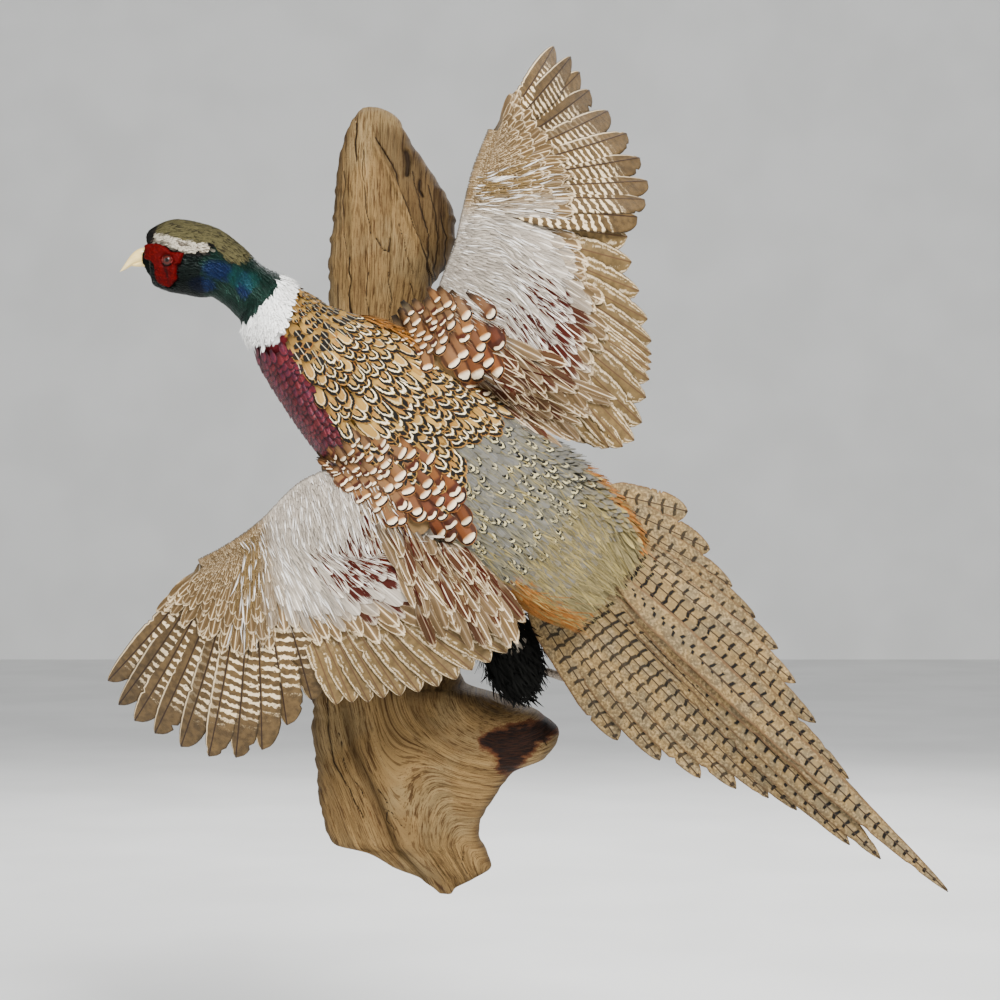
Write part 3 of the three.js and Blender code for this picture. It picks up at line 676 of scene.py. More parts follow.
def quill_piece(name, vanes, finish_name, slot, *replaced):
    """Joins closed vanes into a piece. Each vane has a strip of the map: its top, then its underside."""
    rings = np.stack([v["ring"] for v in vanes])
    n, rows, around = rings.shape[:3]
    quads, ends = tube_faces(rows, around)
    first = (np.arange(n) * rows * around)[:, None, None]
    faces, caps = (quads + first).reshape(-1, 4), (ends + first).reshape(-1, around)
    column, t = np.arange(around), np.linspace(0.03, 0.97, rows)
    left, right = (column + 0.04) / around, (column + 0.96) / around
    corner_u = np.broadcast_to(np.stack([left, left, right, right], axis=-1), (rows - 1, around, 4))
    low, high = (np.broadcast_to(edge[:, None], (rows - 1, around)) for edge in (t[:-1], t[1:]))
    strip = np.stack([corner_u, np.stack([low, high, high, low], axis=-1)], axis=-1).reshape(-1, 2)
    bakes = [strip * [0.94 / n, 1] + [(k + 0.03) / n, 0] for k in range(n)]
    turn = np.linspace(0, 2 * np.pi, around, endpoint=False)
    bakes += [np.stack([(k + 0.5 + 0.3 * np.cos(turn)) / n, end + 0.007 * np.sin(turn)], axis=-1)
              for k in range(n) for end in (0.013, 0.988)]
    corners = np.concatenate([faces.ravel(), caps.ravel()])
    plans = np.stack([v["plan"] for v in vanes]).reshape(-1, 2)
    across = np.stack([v["widths"] for v in vanes]).ravel()
    reach = np.concatenate([np.repeat(np.linspace(0, v["length"], rows), around) for v in vanes])
    chances = np.repeat(np.stack([v["chance"] for v in vanes]), rows * around, axis=0)
    maps = {"OFBake": np.concatenate(bakes), "Plan": plans[corners],
            "Metric": np.stack([across, reach], axis=-1)[corners]}
    piece = mesh_piece(name, rings.reshape(-1, 3), faces, maps, {"chance": chances}, caps)
    face_out(piece)
    own(piece, slot, finish_name, *replaced)


def select_only(*pieces):
    bpy.ops.object.select_all(action="DESELECT")
    for piece in pieces:
        piece.select_set(True)
    bpy.context.view_layer.objects.active = pieces[0]


def face_out(piece):
    """Turns every face of closed shapes outwards."""
    select_only(piece)
    bpy.ops.object.mode_set(mode="EDIT")
    bpy.ops.mesh.select_all(action="SELECT")
    bpy.ops.mesh.normals_make_consistent(inside=False)
    bpy.ops.object.mode_set(mode="OBJECT")


def flight_feathers(side):
    """The primaries and secondaries of one wing as closed vanes, outermost first."""
    spec = WINGS[side]
    vanes = []
    t = np.linspace(0, 1, VANE_ROWS)
    last = PRIMARIES + SECONDARIES - 1
    keys = np.concatenate([np.arange(PRIMARIES), np.linspace(PRIMARIES, last, VISIBLE_SECONDARIES)])
    for number, k in enumerate(keys):
        primary = number < PRIMARIES
        pitch = 1.0 if primary else (SECONDARIES - 1) / (VISIBLE_SECONDARIES - 1)
        root, tip = smooth(spec["root"], k), smooth(spec["tip"], k)
        beside = [min(max(k + step, -0.5), 21.5) for step in (-pitch, pitch)]
        (root_out, tip_out), (root_in, tip_in) = ([smooth(spec[end], at) for end in ("root", "tip")]
                                                  for at in beside)
        gap_tip, gap_root = np.linalg.norm(tip_in - tip_out) / 2, np.linalg.norm(root_in - root_out) / 2
        spacing = gap_root + (gap_tip - gap_root) * t
        turn = 0.5 if k < 2 else 0.76
        low_edge = np.clip(1 - ((t - turn) / (1 - turn)).clip(0) ** 3.0, 0, 1) ** 0.6
        taper = ((t - turn + 0.06) / (1.06 - turn)).clip(0) ** (2.0 if primary else 1.5)
        high_edge = np.clip(1 - taper, 0, 1) ** 0.6
        neck = 0.45 + 0.55 * ease(0, 0.35, t)
        inner = np.minimum(spacing * 0.95 + 3, 17) * np.maximum(low_edge, 0.035) * neck
        outer = np.minimum(spacing * 0.62 + 2, 10 if primary else 12) * np.maximum(high_edge, 0.035) * neck
        length = np.linalg.norm(tip - root)
        chance = dice(40 + number + (100 if side == LEFT else 0))
        tip = tip - unit(tip - root) * chance.uniform(0, 1.0 if primary else 3.0)
        vane = quill_vane(root + (tip - root) * 0.02, tip, smooth(WING_BULGE, k)[0], unit(tip_out - tip_in),
                          outer, inner, tilt=1.3, bow=-0.02 * length, seed=900 + number,
                          level=0.15 * (number % 2), split=5)
        vanes.append({**vane, "length": length,
                      "chance": np.array([chance.uniform(), k / 21, chance.uniform()])})
    return vanes


TAIL_HALF_WIDTH = 15.5


def tail_feathers():
    """The tail's vanes from the outermost right to the outermost left, the longest in the middle."""
    vanes = []
    t = np.linspace(0, 1, VANE_ROWS)
    for k in [*range(9), 8.93, 9.02, *range(10, 19)]:
        root, tip = smooth(TAIL["root"], k), smooth(TAIL["tip"], k)
        rank, middle = 9 - abs(k - 9), abs(k - 9) < 0.5
        length = np.linalg.norm(tip - root)
        side = -1 if k > 9 else 1
        turn = 0.25 if middle else np.interp(rank, [0, 8], [0.62, 0.42])
        point, blunt = (1.35, 0.62) if middle else (2.1, 0.6)
        inner, outer = (7, 11) if middle else (min(max(k - side, 0), 18), min(max(k + side, 0), 18))
        outward = unit(smooth(TAIL["tip"], inner) - smooth(TAIL["tip"], outer))
        outline = np.clip(1 - ((t - turn) / (1 - turn)).clip(0) ** point, 0, 1) ** blunt
        half = TAIL_HALF_WIDTH * (np.maximum(outline, 0.03) * (0.5 + 0.5 * ease(0, 0.25, t)))
        level = -0.9 + 0.22 * rank + (0.5 if middle else 0) + (0.35 if k == 9.02 else 0)
        vane = quill_vane(root, tip, TAIL_BULGE, outward, half * 0.85, half * 1.15, tilt=0.0 if middle else 1.1,
                          bow=0 if middle else 0.01 * length, seed=700 + int(k * 10), level=level, split=6)
        chance = dice(500 + int(k * 10))
        vanes.append({**vane, "length": length, "key": k,
                      "chance": np.array([chance.uniform(), k / 18, chance.uniform()])})
    return vanes


# ---------------------------------------------------------------- finishes


TURN = 6.283  # a whole turn, near enough for the barbs


class Value:
    """A number in a finish's node tree, with plain arithmetic."""

    def __init__(self, paint, socket):
        self.paint, self.socket = paint, socket

    def __add__(self, other):
        return self.paint.maths("ADD", self, other)

    def __sub__(self, other):
        return self.paint.maths("SUBTRACT", self, other)

    def __rsub__(self, other):
        return self.paint.maths("SUBTRACT", other, self)

    def __mul__(self, other):
        return self.paint.maths("MULTIPLY", self, other)

    def __truediv__(self, other):
        return self.paint.maths("DIVIDE", self, other)

    def __abs__(self):
        return self.paint.maths("ABSOLUTE", self)

    __radd__, __rmul__ = __add__, __mul__


class Paint:
    """One procedural finish as it is built."""

    def __init__(self, name, roughness, specular=0.5, **sockets):
        self.material = bpy.data.materials.new(name)
        self.material.use_nodes = True
        self.tree = self.material.node_tree
        self.shader = self.tree.nodes["Principled BSDF"]
        for key, value in {"Roughness": roughness, "Specular_IOR_Level": specular, **sockets}.items():
            self.shader.inputs[key.replace("_", " ")].default_value = value

    def node(self, kind, outputs=0, settings=None, **inputs):
        node = self.tree.nodes.new(kind)
        for key, value in (settings or {}).items():
            setattr(node, key, value)
        for key, value in inputs.items():
            self.feed(node.inputs[int(key[1:]) if key[0] == "i" and key[1:].isdigit() else key], value)
        return node.outputs[outputs]

    def feed(self, socket, value):
        if isinstance(value, Value):
            value = value.socket
        if isinstance(value, bpy.types.NodeSocket):
            self.tree.links.new(value, socket)
        elif socket.type == "RGBA":
            socket.default_value = (*value[:3], 1)
        else:
            socket.default_value = value

    def maths(self, operation, *values, clamp=False):
        inputs = {f"i{i}": value for i, value in enumerate(values)}
        return Value(self, self.node("ShaderNodeMath", 0, {"operation": operation, "use_clamp": clamp},
                                     **inputs))

    def step(self, low, high, value):
        """0 where the value is low, 1 where it is high, smooth between."""
        inputs = {"Value": value, "From Min": low, "From Max": high}
        return Value(self, self.node("ShaderNodeMapRange", 0, {"interpolation_type": "SMOOTHSTEP"}, **inputs))

    def fade(self, low, high, value):
        """1 where the value is low, 0 where it is high."""
        return 1 - self.step(low, high, value)

    def band(self, low, high, soft, value):
        """1 between low and high."""
        return self.step(low - soft, low + soft, value) * self.fade(high - soft, high + soft, value)

    def mix(self, factor, a, b, blend="MIX"):
        return self.node("ShaderNodeMix", 2, {"data_type": "RGBA", "blend_type": blend, "clamp_factor": True},
                         Factor=factor, i6=a, i7=b)

    def noise(self, scale, detail=2.0, coords=None, stretch=None, rough=0.5, output=0):
        if coords is None:
            coords = self.node("ShaderNodeTexCoord", 3)
        if stretch is not None:
            coords = self.node("ShaderNodeVectorMath", 0, {"operation": "MULTIPLY"}, i0=coords, i1=stretch)
        inputs = {"Vector": coords, "Scale": scale, "Detail": detail, "Roughness": rough}
        made = self.node("ShaderNodeTexNoise", output, None, **inputs)
        return Value(self, made) if output == 0 else made

    def wobble(self, scale, detail, amount):
        """Noise to both sides of 0, as far as half the amount."""
        return (self.noise(scale, detail) - 0.5) * amount

    def map(self, name):
        return self.node("ShaderNodeUVMap", 0, {"uv_map": name})

    def split(self, vector):
        node = self.tree.nodes.new("ShaderNodeSeparateXYZ")
        self.tree.links.new(vector, node.inputs[0])
        return [Value(self, node.outputs[k]) for k in range(3)]

    def join(self, x, y, z=0.0):
        return self.node("ShaderNodeCombineXYZ", 0, None, i0=x, i1=y, i2=z)

    def attribute(self, name):
        return self.node("ShaderNodeAttribute", 0, {"attribute_name": name})

    def chances(self):
        """A vane's own three random values."""
        return self.split(self.attribute("chance"))

    def shade(self, colour, shade):
        return self.mix(1.0, colour, self.join(shade, shade, shade), "MULTIPLY")

    def plan(self):
        """A vane's own plan: across from -1 to 1 at its widest, and along from root to tip."""
        x, y, _ = self.split(self.map("Plan"))
        return x * 2 - 1, y

    def lines(self, x, y, pull=0.5, count=26):
        """The barbs of a vane as fine slanting lines, -1 to 1."""
        return self.maths("SINE", (y + abs(x) * (-pull)) * (count * TURN))

    def finish(self, colour, roughness=None, bump=None, depth=0.0002):
        self.feed(self.shader.inputs["Base Color"], colour)
        if roughness is not None:
            self.feed(self.shader.inputs["Roughness"], roughness)
        if bump is not None:
            normal = self.node("ShaderNodeBump", 0, None, Height=bump, Strength=0.6, Distance=depth)
            self.tree.links.new(normal, self.shader.inputs["Normal"])
        return self.material


made_finishes = {}


def finish(name):
    """A finish by name, made on its first use."""
    if name not in made_finishes:
        made_finishes[name] = FINISHES[name](name)
    return made_finishes[name]


def dark(colour, share):
    return tuple(c * share for c in colour[:3])


def soft_plume(roughness=0.75, sheen=0.05, shaft=0.25, tip=0.12, root=0.55, barb=0.12, count=22, metal=0.0,
               specular=0.06, spread=0.35, fleck=None):
    """Plain plumage: the tint of its region, darker at the root, with barbs and a pale shaft."""
    def make(name):
        p = Paint(name, roughness, specular, Sheen_Weight=sheen, Metallic=metal, Sheen_Roughness=0.5)
        x, y = p.plan()
        tint = p.attribute("tint")
        chance, other, _ = p.chances()
        if fleck is not None:
            tint = p.mix(p.step(0.72, 0.86, other) * 0.8, tint, fleck)
        lines = p.lines(x, y, 0.5, count)
        shade = 1 + p.wobble(900, 2, 0.5) + lines * barb + (chance - 0.5) * spread
        # root darkens the feather's base: painted shade under the feathers lying over it
        shade = shade * (root + (1 - root) * p.step(0.0, 0.55, y)) * (1 + p.step(0.7, 1.0, y) * tip)
        colour = p.shade(tint, shade)
        line = p.fade(0.02, 0.11, abs(x))
        colour = p.mix(line * shaft, colour, (0.9, 0.87, 0.8))
        return p.finish(colour, bump=lines * 0.5 + p.noise(1500, 1), depth=0.00025)
    return make


def rings(p, x, y, widest=0.62, reach=0.38):
    """Distance from a feather's middle line and rounded tip: 0 in the middle, 1 at the margin."""
    beyond = p.maths("MAXIMUM", (y - widest) / reach, 0.0)
    return p.maths("SQRT", x * x + beyond * beyond)


def start_vane(*settings, **sockets):
    """A new finish, the plumage's colours, the vane's plan and its three random values."""
    p = Paint(*settings, **sockets)
    return p, plumage(), *p.plan(), *p.chances()


def mantle_plume(name):
    """Gold, with a black line, a cream line and a broad black line inside a golden-brown margin."""
    p, q, x, y, chance, fine, other = start_vane(name, 0.55, 0.15)
    r = rings(p, x, y, 0.56, 0.44) + p.wobble(500, 2, 0.26) + p.wobble(150, 1, 0.2)
    plain = p.step(0.25, 0.3, other)
    blade = p.step(0.3, 0.5, y)
    colour = p.mix(p.step(0.2, 0.8, fine), q.mantle_cream, q.mantle)
    colour = p.mix(p.band(0.24, 0.50, 0.03, r) * blade * plain, colour, INK)
    colour = p.mix(p.fade(0.0, 0.26, r) * blade * plain * p.step(0.4, 0.6, chance), colour, q.mantle_edge)
    colour = p.mix(p.band(0.50, 0.64, 0.025, r) * blade * p.maths("MAXIMUM", plain, 0.4), colour,
                   q.mantle_white)
    colour = p.mix(p.band(0.645, 0.95, 0.025, r + (fine - 0.5) * 0.08), colour, INK)
    colour = p.mix(p.step(0.945, 0.97, r), colour, p.mix(other, q.mantle_edge, q.mantle))
    colour = p.mix(p.fade(0.03, 0.08, abs(x)) * 0.5, colour, q.mantle_cream)
    return shaded(p, colour, p.lines(x, y, 0.5, 24), 0.12, chance, 0.35, 0.3, y)


def upper_mantle_plume(name):
    """Gold with a black lozenge near the tip, split by the pale shaft."""
    p, q, x, y, chance, fine, other = start_vane(name, 0.55, 0.15)
    wobble = p.wobble(500, 2, 0.5)
    ax = abs(x)
    colour = p.mix(fine, dark(q.mantle, 0.6), dark(q.mantle_cream, 0.8))
    spot = p.maths("SQRT", x * x * 1.1 + (y - 0.80) * (y - 0.80) * 13) + wobble
    black = p.fade(0.60, 0.70, spot) * p.step(0.10, 0.16, other)
    colour = p.mix(black, colour, INK)
    colour = p.mix(p.band(0.86, 0.97, 0.05, rings(p, x, y) + wobble * 0.3), colour,
                   p.mix(p.step(0.3, 0.5, other), q.mantle_edge, INK))
    colour = p.mix(p.fade(0.03, 0.07, ax) * p.band(0.62, 0.97, 0.05, y) * 0.5, colour, q.mantle_white)
    return shaded(p, colour, p.lines(x, y, 0.5, 18), 0.12, chance, 0.5, 0.15, y)


def scapular_plume(name):
    """Chestnut with a broad cream drop at the tip, cupped from below by a black line."""
    p, q, x, y, chance, fine, other = start_vane(name, 0.55, 0.15)
    ax = abs(x)
    wobble = p.wobble(450, 2, 0.35)
    base = p.mix(p.step(0.3, 1.0, fine) * 0.5, p.attribute("tint"), q.mantle_edge)
    # painted shade: the vane's sides, where the next feathers overlap, darken to dark chestnut
    base = p.mix(p.band(0.52, 0.94, 0.12, ax + wobble * 0.4) * p.step(0.2, 0.5, y) * 0.8, base,
                 dark(q.scapular_rear, 0.2))
    middle = 0.82 + (other - 0.5) * 0.04
    low = (y - middle) / 0.105
    spot = p.maths("SQRT", x * x / (0.34 + fine * 0.2) + low * low) + wobble
    under = p.step(middle - 0.06, middle + 0.0, y)
    colour = p.mix(p.band(0.92, 1.42, 0.04, spot) * under, base, (0.004, 0.002, 0.002))
    cream = p.mix(p.step(middle - 0.095, middle + 0.035, y + wobble * 0.08), dark(q.mantle_edge, 1.3),
                  q.spot_cream)
    colour = p.mix(p.fade(0.90, 0.97, spot), colour, cream)
    wedge = p.fade(-0.03, 0.03, ax * 0.35 + (y - middle - 0.01) * 2.4 + wobble * 0.15)
    colour = p.mix(wedge * p.step(0.62, 0.7, other) * p.step(0.6, 0.7, y), colour, dark(q.scapular_rear, 0.5))
    colour = p.mix(p.step(0.94, 0.99, rings(p, x, y)), colour, q.mantle_edge)
    return shaded(p, colour, p.lines(x, y, 0.5, 24), 0.1, chance, 0.4, 0.15, y)


def breast_plume(name):
    """Glossy maroon with a purple sheen and a dark margin."""
    p, q, x, y, chance, fine, _ = start_vane(name, 0.34, 0.3, Metallic=0.4)
    r = rings(p, x, y, 0.55, 0.45) + p.wobble(700, 2, 0.3)
    colour = p.mix(p.step(0.2, 0.9, chance), q.breast, q.breast_purple)
    colour = p.mix(p.band(0.45, 0.74, 0.1, r) * 0.6, colour, dark(q.breast, 1.6))
    colour = p.mix(p.step(0.74, 0.9, r) * 0.9, colour, (0.012, 0.003, 0.006))
    return shaded(p, colour, p.lines(x, y, 0.5, 22), 0.2, fine, 0.7, 0.3, y)


def back_plume(name):
    """Grey-green, streaked with blue-grey; some feathers have a black and cream ring near the tip."""
    p, q, x, y, chance, fine, other = start_vane(name, 0.7, 0.1)
    lines = p.lines(x, y, 0.6, 16)
    streak = p.noise(7, 3, p.join(x * 1.6, y * 0.12, chance * 9))
    base = p.mix(p.step(0.3, 0.7, streak), p.attribute("tint"), q.back_blue)
    base = p.mix(p.step(0.6, 0.75, streak) * 0.6, base, (0.28, 0.27, 0.25))
    base = p.mix(p.fade(0.35, 0.42, streak) * 0.5, base, (0.04, 0.04, 0.035))
    r = rings(p, x, y, 0.62, 0.38) + p.wobble(500, 2, 0.6)
    marked = p.step(0.56, 0.64, other) * p.step(0.5, 0.62, y)
    colour = p.mix(p.fade(0.36, 0.42, r) * marked, base, INK)
    colour = p.mix(p.fade(0.05, 0.10, r) * marked, colour, base)
    colour = p.mix(p.band(0.42, 0.70, 0.05, r) * marked, colour, (0.50, 0.43, 0.22))
    colour = p.mix(p.band(0.72, 0.92, 0.04, r) * marked, colour, (0.01, 0.01, 0.008))
    return shaded(p, colour, lines + streak, 0.15, fine, 0.4, 0.5, y, 0.0003)


def flank_plume(name):
    """Golden orange with a dark spot at the tip of some feathers."""
    p, q, x, y, chance, fine, _ = start_vane(name, 0.5, 0.4, Sheen_Weight=0.1)
    r = rings(p, x, y, 0.7, 0.3) + p.wobble(600, 2, 0.2)
    colour = p.mix(p.step(0.2, 0.8, r), q.flank, dark(q.flank, 1.3))
    spot = p.maths("SQRT", x * x * 2 + (y - 0.95) * (y - 0.95) * 40)
    colour = p.mix(p.fade(0.5, 0.75, spot) * p.step(0.3, 0.4, chance), colour, (0.01, 0.008, 0.012))
    return shaded(p, colour, p.lines(x, y, 0.6, 20), 0.12, fine, 0.3, 0.5, y)


def covert_plume(name):
    """Silky grey with a white shaft, maroon webs near the body, tan with cream margins by the hand."""
    q = plumage()
    p = Paint(name, 0.6, 0.12)
    x, y = p.plan()
    ax = abs(x)
    chance, red, tan = p.chances()
    lines = p.lines(x, y, 0.5, 30)
    streak = p.noise(4, 3, p.join(x * 2.4, y * 0.5, chance * 20))
    fine = p.noise(500, 2)
    tanned = tan * p.step(0.1, 0.55, y + (streak - 0.5) * 0.4)
    colour = p.mix(p.step(0.42, 0.72, streak) * 0.7, p.attribute("tint"), q.covert_pale)
    colour = p.mix(p.fade(0.36, 0.46, streak) * 0.35, colour, dark(q.shoulder_grey, 0.45))
    colour = p.mix(tanned, colour, p.mix(p.step(0.35, 0.65, streak), dark(q.covert_tan, 0.6), q.covert_tan))
    web = p.band(0.05, 0.84, 0.05, ax + (streak - 0.5) * 0.7)
    zone = web * p.band(0.38, 0.90, 0.05, y + (streak - 0.5) * 0.5)
    colour = p.mix(zone * p.step(0.42, 0.47, red), colour, q.covert_maroon)
    colour = p.mix(p.band(0.25, 0.7, 0.08, ax + (streak - 0.5) * 0.9) * tanned * 0.7, colour, q.flight_brown)
    margin = rings(p, x, y, 0.66, 0.34) + (fine - 0.5) * 0.3
    colour = p.mix(p.band(0.82, 0.95, 0.05, margin) * tanned * p.step(0.35, 0.65, fine + chance * 0.4) * 0.6,
                   colour, q.flight_cream)
    # painted shade: a thin dark rim at the margin, where the next covert would shade it
    colour = p.mix(p.step(0.94, 0.99, margin) * 0.6, colour, dark(q.flight_brown, 0.6))
    colour = p.mix(p.fade(0.03, 0.10, ax) * (0.2 + 0.65 * p.step(0.25, 0.75, chance)), colour,
                   p.mix(tanned, q.shaft_white, q.flight_cream))
    return shaded(p, colour, lines, 0.1, chance, 0.35, 0.35, y)


def flight_vane(barred):
    """Primaries with cream bars on the inner web, or tan secondaries with cream edges."""
    def make(name):
        q = plumage()
        p = Paint(name, 0.55, 0.15)
        x, y = p.plan()
        ax = abs(x)
        wide, far, _ = p.split(p.map("Metric"))
        across = abs(wide)
        chance, key, other = p.chances()
        inner = p.fade(-0.02, 0.02, x)
        patchy = p.noise(170, 3)
        fine = p.noise(650, 3)
        slant = far - across * 0.12 + p.wobble(230, 3, 9)
        wave = p.maths("FRACT", slant / 8.6 + chance)
        thick = 0.50 + 0.3 * patchy - ax * 0.12
        bars = p.step(thick - 0.05, thick + 0.05, wave) * p.fade(0.92, 0.98, wave)
        if barred:
            colour = p.mix(p.step(0.3, 0.7, patchy), dark(q.flight_brown, 0.75), dark(q.flight_brown, 1.5))
            web = p.maths("MAXIMUM", inner, p.step(0.14, 0.36, key))
            plain = p.fade(0.74, 0.84, y + (fine - 0.5) * 0.15)
            colour = p.mix(bars * web * plain * p.step(0.04, 0.12, ax), colour, q.flight_cream)
            colour = p.mix(p.band(0.80, 0.93, 0.05, x + (fine - 0.5) * 0.1) * 0.85, colour, q.flight_cream)
            # painted shade: a dark rim at the vane's edge, where the next feather would shade it
            colour = p.mix(p.step(0.90, 0.98, ax) * 0.8, colour, dark(q.flight_brown, 0.3))
            quill = (0.02, 0.009, 0.005)
        else:
            colour = p.mix(p.step(0.3, 0.7, patchy), q.flight_tan, dark(q.flight_tan, 0.6))
            ripple = p.maths("FRACT", (ax + p.wobble(60, 2, 0.7) + (fine - 0.5) * 0.3) * 1.5)
            broken = p.step(0.44, 0.56, p.noise(120, 3) + (fine - 0.5) * 0.3)
            colour = p.mix(p.band(0.62, 0.84, 0.08, ripple) * broken * 0.75, colour, dark(q.flight_cream, 0.8))
            colour = p.mix(bars * p.fade(0.35, 0.7, y) * 0.7, colour, q.flight_cream)
            edge = p.band(0.76, 0.92, 0.05, ax + (fine - 0.5) * 0.35 + (patchy - 0.5) * 0.2)
            colour = p.mix(edge * 0.85, colour,
                           p.mix(p.step(0.4, 0.6, fine), dark(q.flight_cream, 0.6), q.flight_cream))
            # painted shade: a dark rim at the vane's edge, where the next feather would shade it
            colour = p.mix(p.step(0.93, 0.99, ax) * 0.85, colour, dark(q.flight_brown, 0.4))
            quill = (0.08, 0.042, 0.018)
        colour = p.mix(p.fade(0.35, 0.8, across), colour, quill)
        lines = p.maths("SINE", (far - across * 0.8) * 7.0)
        shade = 1 + lines * 0.1 + (other - 0.5) * 0.35
        colour = p.shade(colour, shade)
        return p.finish(colour, bump=lines, depth=0.00015)
    return make


def tail_pattern(p, ax, across, far, chance, key, other):
    """Buff with short black bars on both sides of the shaft and a finely mottled margin."""
    q = plumage()
    fine = p.noise(420, 3)
    patchy = p.noise(60, 2)
    middle = p.fade(0.12, 0.36, abs(key - 0.5))
    colour = p.mix(p.step(0.35, 0.65, patchy), q.tail_buff, q.tail_grey)
    mottle = p.step(0.48, 0.56, fine) * p.step(0.25, 0.7, ax + (1 - middle) * 0.35)
    colour = p.mix(mottle * 0.5, colour, (0.05, 0.028, 0.014))
    colour = p.mix(p.fade(0.38, 0.44, fine) * 0.35, colour, (0.40, 0.27, 0.13))
    # painted shade: the vane's outer margin darkens where the next feather would shade it
    colour = p.mix(p.step(0.84, 0.97, ax) * 0.8, colour, q.tail_edge_shade)
    wave = p.maths("FRACT", (far - across * 0.22 + p.wobble(180, 2, 3.5)) / 12.0 + chance)
    reach = 0.28 + 0.42 * p.noise(140, 1)
    bar = p.band(0.38, 0.64, 0.05, wave) * p.fade(reach - 0.07, reach + 0.07, ax)
    colour = p.mix(bar * (0.88 + 0.12 * middle), colour, INK)
    colour = p.mix(p.fade(0.35, 0.75, across), colour, (0.03, 0.018, 0.010))
    lines = p.maths("SINE", (far - across * 0.8) * 6.0)
    shade = 1 + lines * 0.1 + (other - 0.5) * 0.3
    return p.finish(p.shade(colour, shade), bump=lines, depth=0.00015)


def tail_vane(name):
    p = Paint(name, 0.6, 0.12)
    x, _ = p.plan()
    wide, far, _ = p.split(p.map("Metric"))
    chance, key, other = p.chances()
    return tail_pattern(p, abs(x), abs(wide), far, chance, key, other)


def skin_finish(name):
    """The tint of the plumage above, mottled and rough."""
    p = Paint(name, 0.8, 0.05)
    tint = p.attribute("tint")
    shade = 0.55 + 0.35 * p.noise(500, 3)
    colour = p.shade(tint, shade)
    return p.finish(colour, bump=p.noise(900, 3), depth=0.0006)


def wattle_finish(name):
    q = plumage()
    p = Paint(name, 0.65, 0.05)
    height, inside, streak = p.split(p.attribute("relief"))
    colour = p.mix(p.step(0.15, 0.85, height), dark(q.wattle, 0.7), q.wattle)
    colour = p.mix(p.step(0.5, 0.8, p.noise(900, 2)) * 0.4, colour, dark(q.wattle, 0.5))
    colour = p.mix(streak * 0.85, colour, (0.008, 0.001, 0.001))
    colour = p.mix(p.fade(0.0, 1.8, inside), colour, (0.004, 0.002, 0.002))
    return p.finish(colour, bump=p.noise(1600, 2), depth=0.0002)


def bill_finish(name):
    q = plumage()
    p = Paint(name, 0.35, 0.5, Coat_Weight=0.15)
    streak = p.noise(300, 3, stretch=(0.3, 1, 1.5))
    colour = p.mix(p.step(0.3, 0.75, streak), q.bill, dark(q.bill, 0.82))
    x, _, _ = p.split(p.node("ShaderNodeTexCoord", 3))
    colour = p.mix(p.fade(-0.226, -0.214, x) * 0.35, colour, (0.62, 0.5, 0.3))
    return p.finish(colour, roughness=0.3 + 0.2 * streak, bump=streak, depth=0.0002)


def eye_finish(name):
    p = Paint(name, 0.3, 0.2)
    out, _, _ = p.split(p.attribute("relief"))
    colour = p.mix(p.step(0.44, 0.5, out), (0.002, 0.001, 0.001), (0.05, 0.006, 0.003))
    colour = p.mix(p.step(0.85, 1.0, out), colour, (0.006, 0.002, 0.002))
    colour = p.mix(p.noise(2500, 2) * 0.4, colour, (0.01, 0.003, 0.002))
    return p.finish(colour)


def lid_finish(name):
    p = Paint(name, 0.7, 0.15)
    colour = p.mix(p.step(0.4, 0.7, p.noise(1500, 2)), (0.20, 0.025, 0.022), (0.07, 0.004, 0.004))
    return p.finish(colour, bump=p.noise(2500, 2), depth=0.0002)


def wood_finish(name):
    """Grey-brown weathered wood with streaks along its grain, a burnt hollow and dark cracks."""
    q = plumage()
    p = Paint(name, 0.75, 0.1)
    grain = p.map("Grain")
    crack, burn, shade = p.split(p.attribute("marks_and_shade"))
    wide = p.noise(75, 5, grain, (1, 0.07, 0), 0.65)
    fine = p.noise(330, 5, grain, (1, 0.06, 0), 0.7)
    thin = p.noise(1100, 3, grain, (1, 0.05, 0), 0.6)
    patch = p.noise(16, 4)
    rough = p.noise(700, 3)
    colour = p.mix(p.step(0.35, 0.62, wide), q.wood_mid, q.wood)
    colour = p.mix(p.step(0.54, 0.72, wide + (fine - 0.5) * 0.3) * 0.6, colour, q.wood_pale)
    colour = p.mix(p.step(0.48, 0.62, patch) * 0.55, colour, q.wood_grey)
    colour = p.mix(p.fade(0.37, 0.45, fine) * 0.9, colour, q.wood_dark)
    colour = p.mix(p.fade(0.42, 0.48, thin) * 0.65, colour, q.wood_dark)
    colour = p.mix(p.step(0.60, 0.68, rough) * 0.25, colour, q.wood_dark)
    # painted shade: darkens the wood where its recesses, groove, sides and the parts under the bird lie in
    # shade
    colour = p.mix(shade * 0.9, colour,
                   p.mix(p.step(0.4, 0.6, fine), dark(q.wood_dark, 0.4), dark(q.wood_mid, 0.5)))
    edge = burn + (fine - 0.5) * 0.9 + (rough - 0.5) * 0.5
    colour = p.mix(p.step(0.02, 0.4, edge) * 0.85, colour, (0.045, 0.010, 0.003))
    colour = p.mix(p.step(0.35, 0.75, edge) * (0.75 + 0.25 * p.step(0.45, 0.55, thin)), colour,
                   (0.004, 0.002, 0.0015))
    colour = p.mix(p.step(0.15, 0.7, crack + (thin - 0.5) * 0.6) * 0.9, colour, (0.008, 0.004, 0.002))
    return p.finish(colour, roughness=0.65 + 0.25 * fine, bump=wide * 1.4 + fine * 1.4 + thin * 0.7,
                    depth=0.0016)


def steel_finish(name):
    p = Paint(name, 0.35, Metallic=1.0)
    brushed = p.noise(900, 3, stretch=(0.1, 1, 1))
    colour = p.mix(p.step(0.3, 0.7, brushed), (0.42, 0.42, 0.43), (0.55, 0.56, 0.57))
    return p.finish(colour, roughness=0.28 + 0.2 * brushed, bump=brushed, depth=0.0001)


